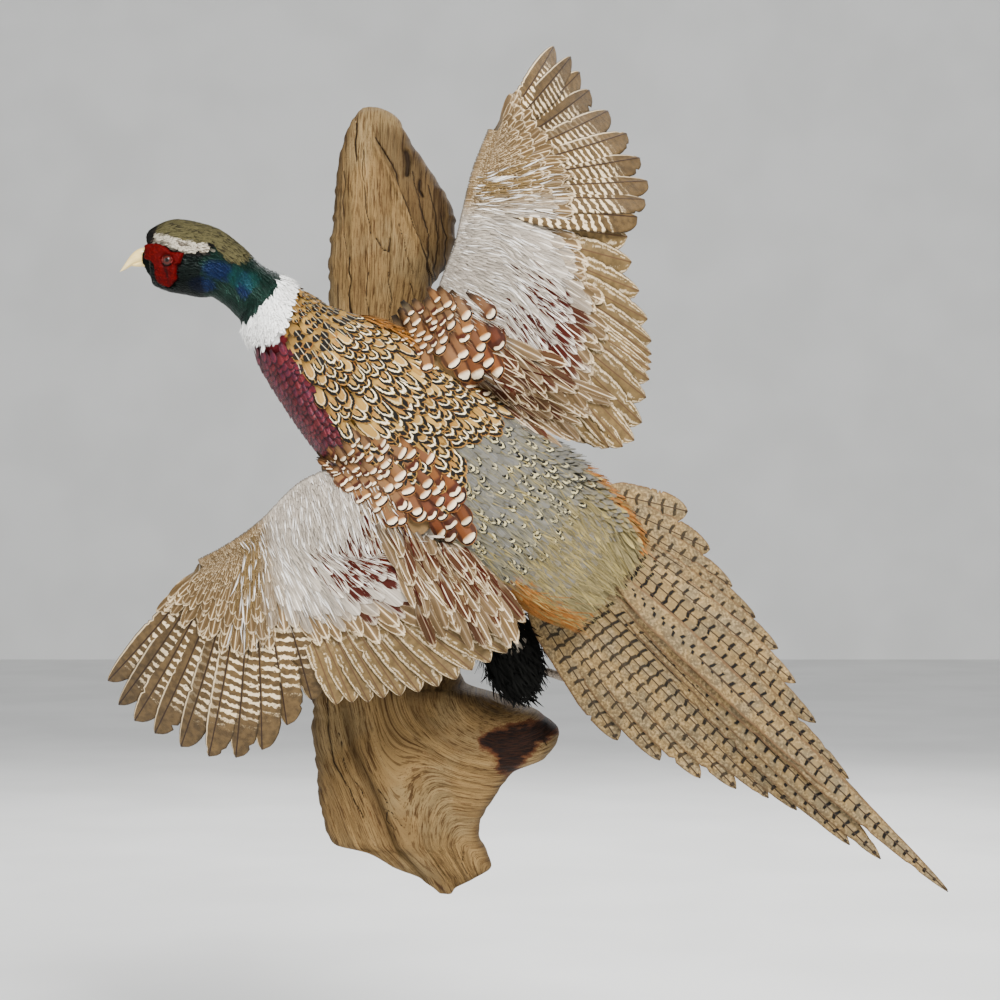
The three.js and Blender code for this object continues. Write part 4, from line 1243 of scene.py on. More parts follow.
def foot_finish(name):
    p = Paint(name, 0.5, 0.4)
    coords = p.node("ShaderNodeTexCoord", 3)
    cells = p.node("ShaderNodeTexVoronoi", 0, {"feature": "DISTANCE_TO_EDGE"}, Vector=coords, Scale=520.0)
    cell = Value(p, cells)
    colour = p.mix(p.step(0.0, 0.12, cell), (0.05, 0.04, 0.03), (0.26, 0.21, 0.16))
    colour = p.mix(p.step(0.4, 0.7, p.noise(120, 2)) * 0.4, colour, (0.36, 0.30, 0.23))
    return p.finish(colour, bump=p.step(0.0, 0.2, cell), depth=0.0005)


def claw_finish(name):
    p = Paint(name, 0.3, 0.5)
    streak = p.noise(700, 3)
    colour = p.mix(p.step(0.3, 0.7, streak), (0.02, 0.016, 0.013), (0.07, 0.055, 0.045))
    return p.finish(colour, bump=streak, depth=0.0001)


def floor_finish(name):
    p = Paint(name, 0.85)
    grey = p.noise(3, 2)
    colour = p.mix(p.step(0.3, 0.7, grey), (0.74, 0.74, 0.72), (0.80, 0.80, 0.78))
    return p.finish(colour)


FINISHES = {
    "crown_plume": soft_plume(sheen=0, shaft=0, root=0.5, barb=0.2, fleck=(0.012, 0.010, 0.007)),
    "brow_plume": soft_plume(sheen=0, shaft=0, root=0.5, barb=0.2, fleck=(0.05, 0.035, 0.025)),
    "rust_plume": soft_plume(0.6, 0, 0.0, 0.2, 0.5, 0.1, spread=0.6),
    "neck_gloss_plume": soft_plume(0.36, 0, 0.0, 0.6, 0.5, 0.2, 14, 0.7, 0.3),
    "collar_plume": soft_plume(0.8, 0.3, 0.0, 0.05, 0.8, 0.05, spread=0.1),
    "silky_plume": soft_plume(0.65, 0.05, 0.0, 0.15, 0.6, 0.05, 8, spread=0.45, fleck=(0.84, 0.80, 0.74)),
    "rump_plume": soft_plume(0.65, 0, 0.0, 0.2, 0.45, 0.1, spread=0.6, fleck=(0.26, 0.20, 0.07)),
    "dark_plume": soft_plume(0.85, 0, 0.0, 0.2, 0.6, 0.2),
    "under_plume": soft_plume(0.7, 0.05, 0.3, 0.08, 0.75, 0.08, 26),
    "upper_mantle_plume": upper_mantle_plume, "mantle_plume": mantle_plume,
    "scapular_plume": scapular_plume, "breast_plume": breast_plume, "back_plume": back_plume,
    "flank_plume": flank_plume, "covert_plume": covert_plume, "primary_vane": flight_vane(True),
    "secondary_vane": flight_vane(False), "tail_vane": tail_vane, "skin": skin_finish,
    "wattle": wattle_finish, "bill": bill_finish, "eye": eye_finish, "lid": lid_finish,
    "weathered_wood": wood_finish, "brushed_steel": steel_finish, "scaled_foot": foot_finish,
    "dark_claw": claw_finish, "pale_floor": floor_finish,
}


# ---------------------------------------------------------------- head, wood and other closed pieces


def cheek(side, spec):
    """The eye's centre and the direction out of the cheek, in mm."""
    centre, _, back, lateral, (width, above, below) = along_body(spec["station"])
    outward = lateral * (np.sign(lateral[1]) if side == RIGHT else -np.sign(lateral[1]))
    rise = spec["height"] / (above if spec["height"] > 0 else below)
    reach = width * math.sqrt(1 - rise * rise) - spec["inset"]
    return centre + back * spec["height"] + outward * reach, outward


def add_sphere(name, centre, radius, segments=48, rings_count=24):
    bpy.ops.object.select_all(action="DESELECT")
    bpy.ops.mesh.primitive_uv_sphere_add(segments=segments, ring_count=rings_count, radius=radius * MM,
                                         location=Vector(centre) * MM)
    piece = bpy.context.active_object
    piece.name = name
    bpy.ops.object.transform_apply(location=True, rotation=True, scale=True)
    bpy.ops.object.shade_smooth()
    return piece


def vertex_array(piece):
    values = np.empty(len(piece.data.vertices) * 3, np.float32)
    piece.data.vertices.foreach_get("co", values)
    return values.reshape(-1, 3).astype(float)


def make_eye(side):
    centre, outward = cheek(side, EYE)
    ball = add_sphere(f"eye_{side}_ball", centre, EYE["radius"])
    places = vertex_array(ball) / MM - centre
    off_axis = np.linalg.norm(places - outward * dot(places, outward), axis=1) / EYE["radius"]
    set_colours(ball.data, "relief", np.stack([off_axis * 1.35, off_axis, off_axis], axis=1))
    own(ball, "eye_glass", "eye", f"eye_{side}")
    bpy.ops.object.select_all(action="DESELECT")
    place = Vector(centre + outward * EYE["radius"] * 0.60) * MM
    turn = Vector(outward).to_track_quat("Z", "Y").to_euler()
    bpy.ops.mesh.primitive_torus_add(major_segments=56, minor_segments=14, major_radius=4.1 * MM,
                                     minor_radius=0.45 * MM, location=place, rotation=turn)
    lid = bpy.context.active_object
    lid.name = f"eye_{side}_lid"
    bpy.ops.object.transform_apply(location=True, rotation=True, scale=True)
    places = vertex_array(lid) / MM
    places += np.array(outward) * dice(7).normal(0, 0.12, len(places))[:, None]
    places[:, 2] -= (places[:, 2] - centre[2]) * 0.16
    lid.data.vertices.foreach_set("co", (places * MM).astype(np.float32).ravel())
    bpy.ops.object.shade_smooth()
    own(lid, "red_face_skin", "lid")


WATTLE_EDGE = [(-210, 215.5), (-195.5, 215.5), (-189.5, 214.5), (-184, 211), (-181.5, 208), (-169, 207.5),
               (-171.5, 200), (-173, 197), (-176, 195), (-176, 184), (-184, 176.5), (-190, 178.5),
               (-196, 183), (-197.5, 189.5), (-197.5, 196), (-199.5, 198.5), (-206, 201.5), (-210, 204)]


def line_distance(points, x, z):
    """Distance from a line through points, in mm."""
    best = np.full(x.shape, 1e9)
    for (ax, az), (bx, bz) in zip(points, points[1:]):
        dx, dz = bx - ax, bz - az
        t = np.clip(((x - ax) * dx + (z - az) * dz) / (dx * dx + dz * dz), 0, 1)
        best = np.minimum(best, np.hypot(x - ax - t * dx, z - az - t * dz))
    return best


def polygon_distance(points, x, z):
    """Distance inside a closed outline, negative outside it, in mm."""
    points = [*points, points[0]]
    inside = np.zeros(x.shape, bool)
    for (ax, az), (bx, bz) in zip(points, points[1:]):
        crosses = (az > z) != (bz > z)
        inside ^= crosses & (x < (bx - ax) * (z - az) / ((bz - az) or 1e-9) + ax)
    best = line_distance(points, x, z)
    return np.where(inside, best, -best)


def lattice_noise(x, y, seed):
    """Smooth 2-D noise of unit cell, 0 to 1."""
    table = dice(seed).uniform(0, 1, (64, 64))
    i, j = np.floor(x).astype(int), np.floor(y).astype(int)
    fx, fy = x - i, y - j
    fx, fy = fx * fx * (3 - 2 * fx), fy * fy * (3 - 2 * fy)
    a, b = table[i % 64, j % 64], table[(i + 1) % 64, j % 64]
    c, d = table[i % 64, (j + 1) % 64], table[(i + 1) % 64, (j + 1) % 64]
    return (a * (1 - fx) + b * fx) * (1 - fy) + (c * (1 - fx) + d * fx) * fy


def swing(x, y, seed, amount):
    """Lattice noise to both sides of 0, as far as half the amount."""
    return (lattice_noise(x, y, seed) - 0.5) * amount


def make_wattle(side):
    """The red face skin: a raised, pimpled patch that rises out of the head round the eye."""
    ground = grounds["body"]
    sign = -1 if side == LEFT else 1
    rows, columns = 150, 130
    keys, angles = np.linspace(0.9, 4.7, rows), np.linspace(52, 148, columns) * sign
    gi, gj = np.meshgrid(ground.row_index(keys), ground.column_index(angles), indexing="ij")
    place, normal = ground.look(ground.places, gi, gj), unit(ground.look(ground.normals, gi, gj))
    x, z = place[..., 0] / MM, place[..., 2] / MM
    inside = polygon_distance(WATTLE_EDGE, x, z)
    points = dice(3).uniform(0, 1, (900, 2)) * 60 + [-220, 168]
    nearest = np.full(x.shape, 9.0)
    for px, pz in points:
        nearest = np.minimum(nearest, np.hypot(x - px, z - pz))
    cells = np.clip(1 - nearest / 0.95, 0, 1) ** 0.6
    centre, _ = cheek(side, EYE)
    from_eye = np.hypot(x - centre[0], z - centre[2])
    rim = ease(-0.6, 3.0, inside)
    height = -2.5 + 4.0 * rim + cells * 0.55 * ease(0, 1.5, inside) - 1.6 * ease(7.0, 4.6, from_eye)
    wrinkle = lattice_noise(x / 3.2, z / 3.2, 12)
    front = place + normal * ((height + wrinkle * rim) * MM)[..., None]
    keep = inside > -2.2
    index = -np.ones(x.shape, int)
    index[keep] = np.arange(keep.sum())
    quads = np.stack([index[:-1, :-1], index[1:, :-1], index[1:, 1:], index[:-1, 1:]], axis=-1).reshape(-1, 4)
    quads = quads[(quads >= 0).all(axis=1)]
    streak = np.exp(-((x + 187.5 + 0.25 * (z - 200)) / 2.0) ** 2) * ease(203, 199, z) * ease(184, 188, z)
    streak = streak * ease(0.25, 0.6, lattice_noise(x / 1.5 + 9, z / 3 + 9, 14))
    relief = np.stack([np.clip(0.35 + 0.65 * cells + 0.2 * (wrinkle - 0.5), 0, 1), inside, streak],
                      axis=-1)[keep]
    used = np.unique(quads)
    remap = -np.ones(keep.sum(), int)
    remap[used] = np.arange(len(used))
    piece = mesh_piece(f"wattle_{side}_skin", front[keep][used], remap[quads], colours={"relief": relief[used]})
    face_out(piece)
    apply(piece, "thickness", "SOLIDIFY", thickness=1.2 * MM, offset=-1)
    face_out(piece)
    own(piece, "red_face_skin", "wattle", f"wattle_{side}")


def bill_piece(name, spec, ridge, node):
    """One half of the bill, hooked over at the tip, with a ridge along its top."""
    rows, around = 60, 40
    t = np.linspace(0, 1, rows)
    centre = smooth(spec["line"], t)
    size = np.maximum(1 - t ** spec["taper"], BILL_TIP * 0.6)
    turn = np.linspace(0, 2 * np.pi, around, endpoint=False)
    side, up = np.sin(turn), np.cos(turn)
    lift = np.where(up > 0, np.maximum(up, 0) ** (0.85 if ridge else 1.0), up * (0.65 if ridge else 0.9))
    places = centre[:, None] + np.zeros((rows, around, 3))
    width = BILL_HALF_WIDTH * (1 if ridge else 0.8)
    places[..., 1] += side * width * size[:, None] * (1 - 0.12 * (up > 0) * ridge)
    places[..., 2] += lift * spec["base"] * size[:, None]
    if ridge:
        places[..., 2] -= (ease(0.45, 1.0, t) * 3.2)[:, None]
        nostril = ((np.abs(side) - 0.86) / 0.2) ** 2 + ((up - 0.45) / 0.3) ** 2
        nostril = np.exp(-(((t[:, None] - 0.30) / 0.075) ** 2 + nostril))
        places[..., 1] -= np.sign(side) * nostril * 1.5
    quads, caps = tube_faces(rows, around)
    piece = mesh_piece(name, places.reshape(-1, 3) * MM, quads, caps=caps)
    face_out(piece)
    own(piece, "bill_horn", "bill", node)


def make_face():
    """Both eyes and face patches, and the two halves of the bill."""
    for side in (LEFT, RIGHT):
        make_eye(side)
    for side in (LEFT, RIGHT):
        make_wattle(side)
    bill_piece("bill_upper_horn", UPPER_BILL, True, "bill_upper")
    bill_piece("bill_lower_horn", LOWER_BILL, False, "bill_lower")


def copy_joined(name, nodes):
    """One merged copy of CAD nodes."""
    copies = []
    for node in nodes:
        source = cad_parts[node]
        copy = bpy.data.objects.new(f"{name}_{node}", source.data.copy())
        bpy.context.scene.collection.objects.link(copy)
        copies.append(copy)
    select_only(*copies)
    if len(copies) > 1:
        bpy.ops.object.join()
    piece = bpy.context.active_object
    piece.name = name
    for key in list(piece.keys()):
        del piece[key]
    bpy.ops.object.mode_set(mode="EDIT")
    bpy.ops.mesh.select_all(action="SELECT")
    bpy.ops.mesh.remove_doubles(threshold=0.00002)
    bpy.ops.object.mode_set(mode="OBJECT")
    return piece


def apply(piece, name, kind, **settings):
    """Adds a modifier and applies it."""
    select_only(piece)
    modifier = piece.modifiers.new(name, kind)
    for key, value in settings.items():
        setattr(modifier, key, value)
    bpy.ops.object.modifier_apply(modifier=name)


def remade(name, nodes, voxel, smoothing):
    """Nodes joined as one smooth skin."""
    piece = copy_joined(name, nodes)
    apply(piece, "grow", "DISPLACE", strength=0.35 * MM, mid_level=0.0)
    apply(piece, "remesh", "REMESH", mode="VOXEL", voxel_size=voxel * MM, use_smooth_shade=True)
    apply(piece, "soften", "SMOOTH", factor=0.5, iterations=smoothing)
    return piece


def surface_tree(pieces):
    """A searchable copy of several pieces' surfaces."""
    places, faces = [], []
    for piece in pieces:
        first = len(places)
        places.extend(v.co.copy() for v in piece.data.vertices)
        faces.extend(tuple(first + i for i in face.vertices) for face in piece.data.polygons)
    return BVHTree.FromPolygons(places, faces)


flesh = {}


def make_skin():
    """One skin over the head, neck, trunk, wing arms and thighs, in the colours of the plumage above it."""
    nodes = ["head", "neck", "trunk", "wing_left_arm", "wing_right_arm", "thigh_left", "thigh_right"]
    piece = remade("skin", nodes, 2.0, 6)
    flesh["tree"] = surface_tree([piece])
    group = piece.vertex_groups.new(name="depth")
    for index, amount in enumerate(ease(-125, -150, vertex_array(piece)[:, 0] / MM)):
        group.add([index], 1 - 0.6 * amount, "REPLACE")
    apply(piece, "depth", "DISPLACE", strength=-sizes().coat_depth, mid_level=0.0, vertex_group="depth")
    around, colours = (np.concatenate([getattr(ground, grid).reshape(-1, 3) for ground in grounds.values()])
                       for grid in ("places", "colours"))
    tree = KDTree(len(around))
    for index, place in enumerate(around):
        tree.insert(place, index)
    tree.balance()
    tint = colours[[tree.find(v.co)[1] for v in piece.data.vertices]]
    places = vertex_array(piece)
    thigh = (places[:, 2] < -0.1) & (places[:, 1] > -0.125) & (places[:, 0] > 0.05)
    tint[thigh] = plumage().thigh
    set_colours(piece.data, "tint", tint)
    own(piece, "body_feathers", "skin", *nodes)


# Width, depth and points (x, z) of each crack in mm, on the front of the driftwood.
CRACKS = [
    (1.3, 3.5, [(-38, 345), (-38, 325), (-37, 308)]),
    (1.5, 4.0, [(-43, 219), (-42, 200), (-44, 185), (-41, 168), (-43, 150)]),
    (3.4, 8.0, [(7, 318), (9, 306), (8, 296)]), (1.8, 4.0, [(21, 291), (20, 282), (22, 276)]),
    (0.9, 2.5, [(-20, 330), (-6, 305), (6, 275), (14, 252), (24, 225), (34, 196), (38, 172)]),
    (0.9, 2.0, [(27, 288), (33, 262), (36, 236), (33, 214), (35, 190), (30, 160)]),
    (0.9, 2.0, [(14, 300), (20, 268), (28, 240), (27, 214), (31, 190)]),
    (1.0, 2.2, [(38, 262), (43, 240), (41, 216), (36, 198)]),
    (1.2, 2.6, [(-19, 236), (-13, 226), (-8, 224), (-7, 236)]),
    (0.7, 1.4, [(-48, 300), (-50, 262), (-46, 228)]),
    (0.7, 1.4, [(-30, 318), (-31, 290), (-27, 262), (-24, 240)]),
    (0.7, 1.4, [(-26, 205), (-28, 182), (-24, 160)]), (0.7, 1.4, [(2, 250), (8, 225), (14, 205)]),
    (0.8, 1.6, [(-8, 205), (-5, 180), (-7, 155)]), (0.8, 1.6, [(12, 196), (18, 176), (20, 152)]),
    (1.2, 2.4, [(-64, -175), (-62, -215), (-57, -240), (-44, -262), (-32, -290)]),
    (0.8, 1.6, [(-54, -205), (-46, -245), (-30, -270)]),
    (0.9, 2.0, [(-17, -262), (-9, -276), (-10, -292), (-2, -300)]),
    (0.8, 1.6, [(-12, -281), (-4, -284), (4, -296)]), (1.1, 2.2, [(136, -205), (132, -214), (136, -224)]),
    (0.8, 1.4, [(60, -322), (58, -334), (64, -344)]),
]

BURN = [(80, -213), (105, -207), (138, -203), (143, -212), (126, -219), (113, -236), (102, -247),
        (94, -243), (92, -231), (80, -221)]

LOBE_EDGE = ([140, 175, 208, 227, 280, 324, 345], [43, 39, 34, 24.5, 3, -19, -24])

GROOVE = ([-372, -348, -317, -272, -227, -175, -150], [34, 22, -4, -20, -39, -49, -52])


def make_driftwood():
    """The weathered wood: a domed front with grain ridges and cracks, and a flat back."""
    rows, front, behind = 540, 164, 12
    stations = np.linspace(0, len(WOOD) - 1, 2000)
    table = numbered(WOOD)
    key = np.interp(-np.linspace(WOOD[0][0], WOOD[-1][0], rows), -smooth(table, stations)[:, 0], stations)
    z, left, right, thick = smooth(table, key).T
    middle, half = (left + right) / 2, (right - left) / 2
    angle = np.linspace(0, np.pi, front)
    x = middle[:, None] - half[:, None] * np.cos(angle)
    across = -np.cos(angle)[None] + 0 * x
    height = z[:, None] + 0 * x
    depth = thick[:, None] * (np.sin(angle).clip(0) ** 0.55)[None]
    # above, a lobe of wood lies over a recess on its right, darkened with painted shade
    past = x - np.interp(height, *LOBE_EDGE)
    above = ease(140, 165, height) * ease(350, 330, height)
    beyond = ease(-0.8, 1.6, past) * above
    depth = depth - beyond * 8 + np.exp(-((past + 2.5) / 3.0) ** 2) * above * 3.0
    # below, the grain runs down beside a groove on the left and bends round the stub on the right
    aside = x - np.interp(height, *GROOVE)
    lower = ease(-110, -170, height)
    groove = np.exp(-(aside / 4.5) ** 2) * lower
    bend = ease(4, 70, aside)
    swirl = np.hypot((x - 100) / 1.1, (height + 172) / 0.85)
    lean = ease(150, 330, height) * (-0.22) * (330 - height) * ease(-0.7, 0.6, across) * ease(340, 300, height)
    grain = (x + lean * (1 - beyond)) * (1 - lower) + (aside * (1 - bend) + (120 - swirl) * bend) * lower
    run = height * (1 - lower * bend) + (np.arctan2(height + 172, x - 100) * 80) * lower * bend
    wave = lattice_noise(grain / 8 + 40, run / 120 + 40, 5) * 3.2
    wave = wave + lattice_noise(x / 30 + 9, height / 45 + 9, 9) * 5
    for scale, length, deep, seed in ((4.4, 90, 2.6, 6), (2.4, 60, 1.8, 8), (1.4, 45, 1.0, 10)):
        wave = wave + (1 - np.abs(2 * lattice_noise(grain / scale + 11, run / length + 9, seed) - 1)) * deep
    edge = np.sin(angle)[None] ** 0.5
    crack, gouge = np.zeros(x.shape), np.zeros(x.shape)
    wobble = swing(height / 13 + 3, x / 16 + 7, 21, 2.6) + swing(height / 3 + 3, x / 9 + 7, 22, 0.7)
    for width, deep, points in CRACKS:
        distance = line_distance(points, x + wobble, height)
        here = np.clip(1 - distance / (width * (0.55 + 0.9 * lattice_noise(height / 14 + 5, x / 14 + 5, 23))),
                       0, 1)
        crack, gouge = np.maximum(crack, here), np.maximum(gouge, here ** 0.7 * deep)
    ragged = swing(height / 4 + 3, x / 5 + 7, 24, 5) + swing(height / 1.6 + 3, x / 6 + 7, 25, 6)
    burn = ease(-10, 5, polygon_distance(BURN, x + wobble * 1.5, height + wobble) + ragged)
    front_depth = np.maximum(depth + (wave - 7.5) * edge - (gouge + groove * 6 + burn * 2.5) * edge, 0.4)
    # painted shade: the recess right of the lobe, the groove, a band and a patch under the bird's feathers, the
    # wood's turned-away sides and its lower left edge
    shade = np.maximum.reduce([
        beyond * (0.6 + 0.35 * ease(3, 30, past)), groove * 0.55, 0.75 * np.exp(-((height + 168) / 14) ** 2),
        0.45 * np.exp(-(np.hypot(x - 88, height + 190) / 34) ** 2), 0.6 * ease(0.88, 0.99, np.abs(across)),
        0.2 * ease(-74, -79, x) * lower])
    jag = swing(height / 5 + 3, 0 * x + 2, 31, 2.6) * np.sign(across) * np.abs(across) ** 6
    places = np.stack([x + jag, -front_depth, height], axis=-1)
    edge_x = places[:, [0, -1], 0]
    to_right = (np.linspace(1, -1, behind + 2)[1:-1] + 1) / 2
    back_x = edge_x[:, :1] + (edge_x[:, 1:] - edge_x[:, :1]) * to_right
    back = np.stack([back_x, np.zeros(back_x.shape), z[:, None] + 0 * back_x], axis=-1)
    ring = np.concatenate([places, back], axis=1)
    quads, caps = tube_faces(rows, ring.shape[1])
    zero = np.zeros(back_x.shape)
    marks_and_shade = np.stack([np.concatenate([mark, zero], axis=1) for mark in (crack, burn, shade)],
                     axis=-1).reshape(-1, 3)
    grain_map = np.stack([np.concatenate([grain, back_x], axis=1),
                          np.concatenate([run, z[:, None] + 0 * back_x], axis=1)], axis=-1).reshape(-1, 2) * MM
    corners = np.concatenate([quads.ravel(), caps.ravel()])
    piece = mesh_piece("driftwood_carved", ring.reshape(-1, 3) * MM, quads, {"Grain": grain_map[corners]},
                       {"marks_and_shade": marks_and_shade}, caps)
    face_out(piece)
    bpy.ops.object.select_all(action="DESELECT")
    bpy.ops.mesh.primitive_cube_add(size=1, location=(HANGER["x"] * MM, 0, HANGER["z"] * MM),
                                    scale=[HANGER["width"] * MM, 2 * HANGER["recess"] * MM,
                                           HANGER["height"] * MM])
    tool = bpy.context.active_object
    bpy.ops.object.transform_apply(location=True, rotation=True, scale=True)
    apply(piece, "recess", "BOOLEAN", operation="DIFFERENCE", object=tool, solver="EXACT")
    bpy.data.objects.remove(tool)
    piece.data.shade_smooth()
    own(piece, "driftwood", "weathered_wood", "driftwood")


def make_fixings():
    """The hanger and the rods keep their solids and get brushed steel."""
    for node in ("hanger", "mount_rod_upper", "mount_rod_lower"):
        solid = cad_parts[node]
        solid.data.materials.clear()
        solid.data.materials.append(finish("brushed_steel"))


def make_feet():
    """Scaled feet remade from their solids, and rounded claws."""
    for side in (LEFT, RIGHT):
        foot = remade(f"foot_{side}_scaled", [f"foot_{side}"], 0.9, 3)
        own(foot, "foot_scales", "scaled_foot", f"foot_{side}")
        claws = [f"claw_{side}_{k}" for k in range(1, 5)]
        piece = copy_joined(f"claws_{side}", claws)
        apply(piece, "round", "SUBSURF", levels=2, render_levels=2)
        piece.data.shade_smooth()
        own(piece, "claw_horn", "dark_claw", *claws)


# ---------------------------------------------------------------- plumage


def make_head_plumage():
    """Crown, brow stripe, glossy neck and ear tufts, clear of the face skin."""
    ground = grounds["body"]
    base = body_roots(["head", "neck"], (0.9, 9.4), (-180, 180), 2.2, 2.4, 11)
    place = ground.at(base)
    x, z = place[:, 0] / MM, place[:, 2] / MM
    clear = (polygon_distance(WATTLE_EDGE, x, z) < 1.0) & ~((x < -201.5) & (z < 210))
    base, x, z = base[clear], x[clear], z[clear]
    top, bottom = np.interp(x, *CROWN_LINE), np.interp(x, *BROW_LINE)
    on_crown = (z > top) & (x < -112)
    on_brow = (x < -150) & (z > bottom - 1) & (z <= top) & (x > -204)
    crown, brow, gloss = base[on_crown], base[on_brow], base[~on_crown & ~on_brow]
    crown_vanes = lay(ground, crown, 8.0, 1.5, strand, HAIR, 2, (0.1, 0.9), spread=0.14, camber=0.15, seed=21)
    crown_under = lay(ground, crown, 6.0, 3.2, rounded(), SHORT, 2, (0.0, 0.5), spread=0.1, seed=22)
    coat_piece("plumage_crown", [crown_vanes, crown_under], "crown_plume", "head_feathers")
    fine = lay(ground, brow, 4.6, 1.7, strand, HAIR, 2, (0.2, 1.3), spread=0.2, seed=23)
    fine_under = lay(ground, brow, 4.2, 2.9, rounded(), SHORT, 2, (0.0, 0.6), spread=0.1, seed=24)
    coat_piece("plumage_brow", [fine, fine_under], "brow_plume", "head_feathers")
    key = ground.keys(gloss)[0]
    length = np.interp(key, [1, 3, 6, 8], [3.0, 4.2, 6.5, 8.0])
    width = np.interp(key, [1, 3, 6, 8], [2.2, 2.8, 3.6, 4.2])
    neck = lay(ground, gloss, length, width, rounded(0.6), SHORT, 4, (0.05, 0.8), spread=0.1, seed=25)
    coat_piece("plumage_neck", [neck], "neck_gloss_plume", "neck_feathers")
    tufts = []
    for sign, angles in ((-1, (-71, -65)), (1, (65, 71))):
        roots = ground.roots((4.7, 4.95), angles, 1.1, 1.2, 31)
        tufts.append(lay(ground, roots, 5.5, 1.2, strand, HAIR, 2, (0.3, 3.4), turn=0.3 * sign, spread=0.12,
                         seed=32))
        tufts[-1]["tint"][:] = np.array(plumage().forehead)
    coat_piece("plumage_ear_tufts", tufts, "dark_plume", "head_feathers")


def make_collar():
    """White down round the neck, fuller below and ragged at both borders."""
    ground = grounds["body"]
    roots = ground.roots((8.2, 10.4), (-180, 180), 1.9, 2.2, 41)
    chance = dice(40)
    key, angle = ground.keys(roots)
    key = key + chance.normal(0, 0.07, len(roots))
    roots = roots[(key > collar_start(angle)) & (key < collar_end(angle) - 0.3)]
    full = 0.9 * ease(-20, -110, ground.keys(roots)[1])
    plumes = lay(ground, roots, 8.5, 1.3, strand, HAIR, 2, (1.0, 4.2), spread=0.4, camber=0.15, curl=0.15,
                 size_jitter=0.3, seed=42)
    under = lay(ground, roots, 8, 4.6, rounded(0.6), SHORT, 4, (0.4, 2.0), spread=0.2, size_jitter=0.2, seed=43)
    for batch in (plumes, under):
        batch["tint"][:] = plumage().collar
        raise_tips(ground, roots, batch, full, 1.6)
    coat_piece("plumage_collar", [plumes, under], "collar_plume", "neck_feathers")


def make_body_plumage():
    """Breast, mantle, back, rump, flanks and belly, each with its own kind of feather."""
    ground = grounds["body"]
    roots = body_roots(["breast"], (9.2, 14.1), (-180, 180), 5.4, 5.8, 51)
    breast = lay(ground, roots, 12, 8.6, rounded(), CONTOUR, 6, (0.3, 2.0), seed=52)
    coat_piece("plumage_breast", [breast], "breast_plume", "body_feathers")
    upper = body_roots(["mantle"], (9.75, 11.3), (-90, 95), 6.2, 6.8, 53)
    key, _ = ground.keys(upper)
    length, width = np.interp(key, [9, 11.3], [11, 20]), np.interp(key, [9, 11.3], [7.5, 12.5])
    small = body_roots(["mantle"], (8.95, 10.1), (-90, 95), 3.6, 4.2, 50)
    ruff = lay(ground, small, 8.5, 5.4, rounded(0.66), CONTOUR, 6, (0.6, 2.4), spread=0.16, seed=49)
    spotted = lay(ground, upper, length, width, rounded(0.66), CONTOUR, 6, (0.5, 2.2), spread=0.1, seed=54)
    coat_piece("plumage_upper_mantle", [ruff, spotted], "upper_mantle_plume", "body_feathers")
    lower = body_roots(["mantle"], (11.0, 14.45), (-75, 90), 9.4, 9.8, 55)
    key, _ = ground.keys(lower)
    length, width = np.interp(key, [11.0, 13.5], [20, 29]), np.interp(key, [11.0, 13.5], [11, 14.5])
    ringed = lay(ground, lower, length, width, rounded(0.6), CONTOUR, 8, (0.8, 3.4), spread=0.1, seed=56)
    coat_piece("plumage_mantle", [ringed], "mantle_plume", "body_feathers")
    back = body_roots(["back", "rump"], (14.0, 17.0), (-105, 105), 6.2, 6.4, 57)
    base = lay(ground, back, 17, 9, rounded(0.6, 0.4, 1.6), CONTOUR, 6, (0.3, 1.8), spread=0.14, ragged=0.35,
               seed=58)
    key, angle = ground.keys(back)
    marked = ease(-75, -10, angle + 14 * (key - 14.5)) * ease(16.7, 15.9, key) * ease(85, 35, angle)
    base["chance"][:, 2] *= 0.35 + 0.65 * marked
    strands = body_roots(["back", "rump", "rust"], (14.4, 17.25), (-118, 118), 3.4, 3.1, 59)
    key, angle = ground.keys(strands)
    often = 0.25 + 0.75 * ease(15.0, 16.4, key) + 0.4 * ease(-20, -70, angle)
    strands = strands[dice(60).uniform(0, 1, len(strands)) < often]
    key = ground.keys(strands)[0]
    hairs = lay(ground, strands, np.interp(key, [14.5, 16.2, 17.2], [14, 24, 44]), 1.5, strand, COARSE, 2,
                (0.7, 2.6), spread=0.17, camber=0.15, curl=0.08, size_jitter=0.35, seed=61)
    wide = body_roots(["rump", "rust"], (15.8, 17.3), (-118, 118), 6.0, 6.0, 62)
    soft = lay(ground, wide, np.interp(ground.keys(wide)[0], [16, 17.2], [22, 36]), 8, rounded(0.55, 0.4, 1.4),
               CONTOUR, 6, (0.2, 1.4), spread=0.14, ragged=0.5, seed=63)
    # the feathers stand up on the right of the rump
    for batch, roots in ((base, back), (hairs, strands), (soft, wide)):
        key, angle = ground.keys(roots)
        full = ease(14.9, 15.8, key) * ease(17.6, 16.9, key) * ease(22, 55, angle) * ease(120, 95, angle)
        raise_tips(ground, roots, batch, full, 9)
    coat_piece("plumage_back", [base], "back_plume", "body_feathers")
    coat_piece("plumage_rump", [hairs, soft], "rump_plume", "body_feathers")
    roots = body_roots(["flank"], (11.0, 17.4), (-180, 180), 8.0, 7.5, 64)
    flank = lay(ground, roots, 22, 12, rounded(0.66, 0.4, 1.7), CONTOUR, 6, (0.3, 2.4), ragged=0.3, seed=65)
    coat_piece("plumage_flanks", [flank], "flank_plume", "body_feathers")
    roots = ground.roots((11.5, 13.4), (58, 112), 3.0, 3.0, 66)
    orange = lay(ground, roots, 27, 1.8, strand, COARSE, 2, (1.5, 7.5), turn=-0.25, spread=0.2, curl=0.08,
                 seed=67)
    orange["tint"][:] = plumage().flank
    coat_piece("plumage_shoulder_plumes", [orange], "rust_plume", "body_feathers")
    roots = body_roots(["belly", "vent"], (13.6, 17.45), (-180, 180), 8.0, 8.0, 68)
    belly = lay(ground, roots, 20, 11, rounded(0.6, 0.4, 1.5), COARSE, 4, (0.3, 2.2), spread=0.12, ragged=0.5,
                seed=69)
    coat_piece("plumage_belly", [belly], "dark_plume", "dark_down")


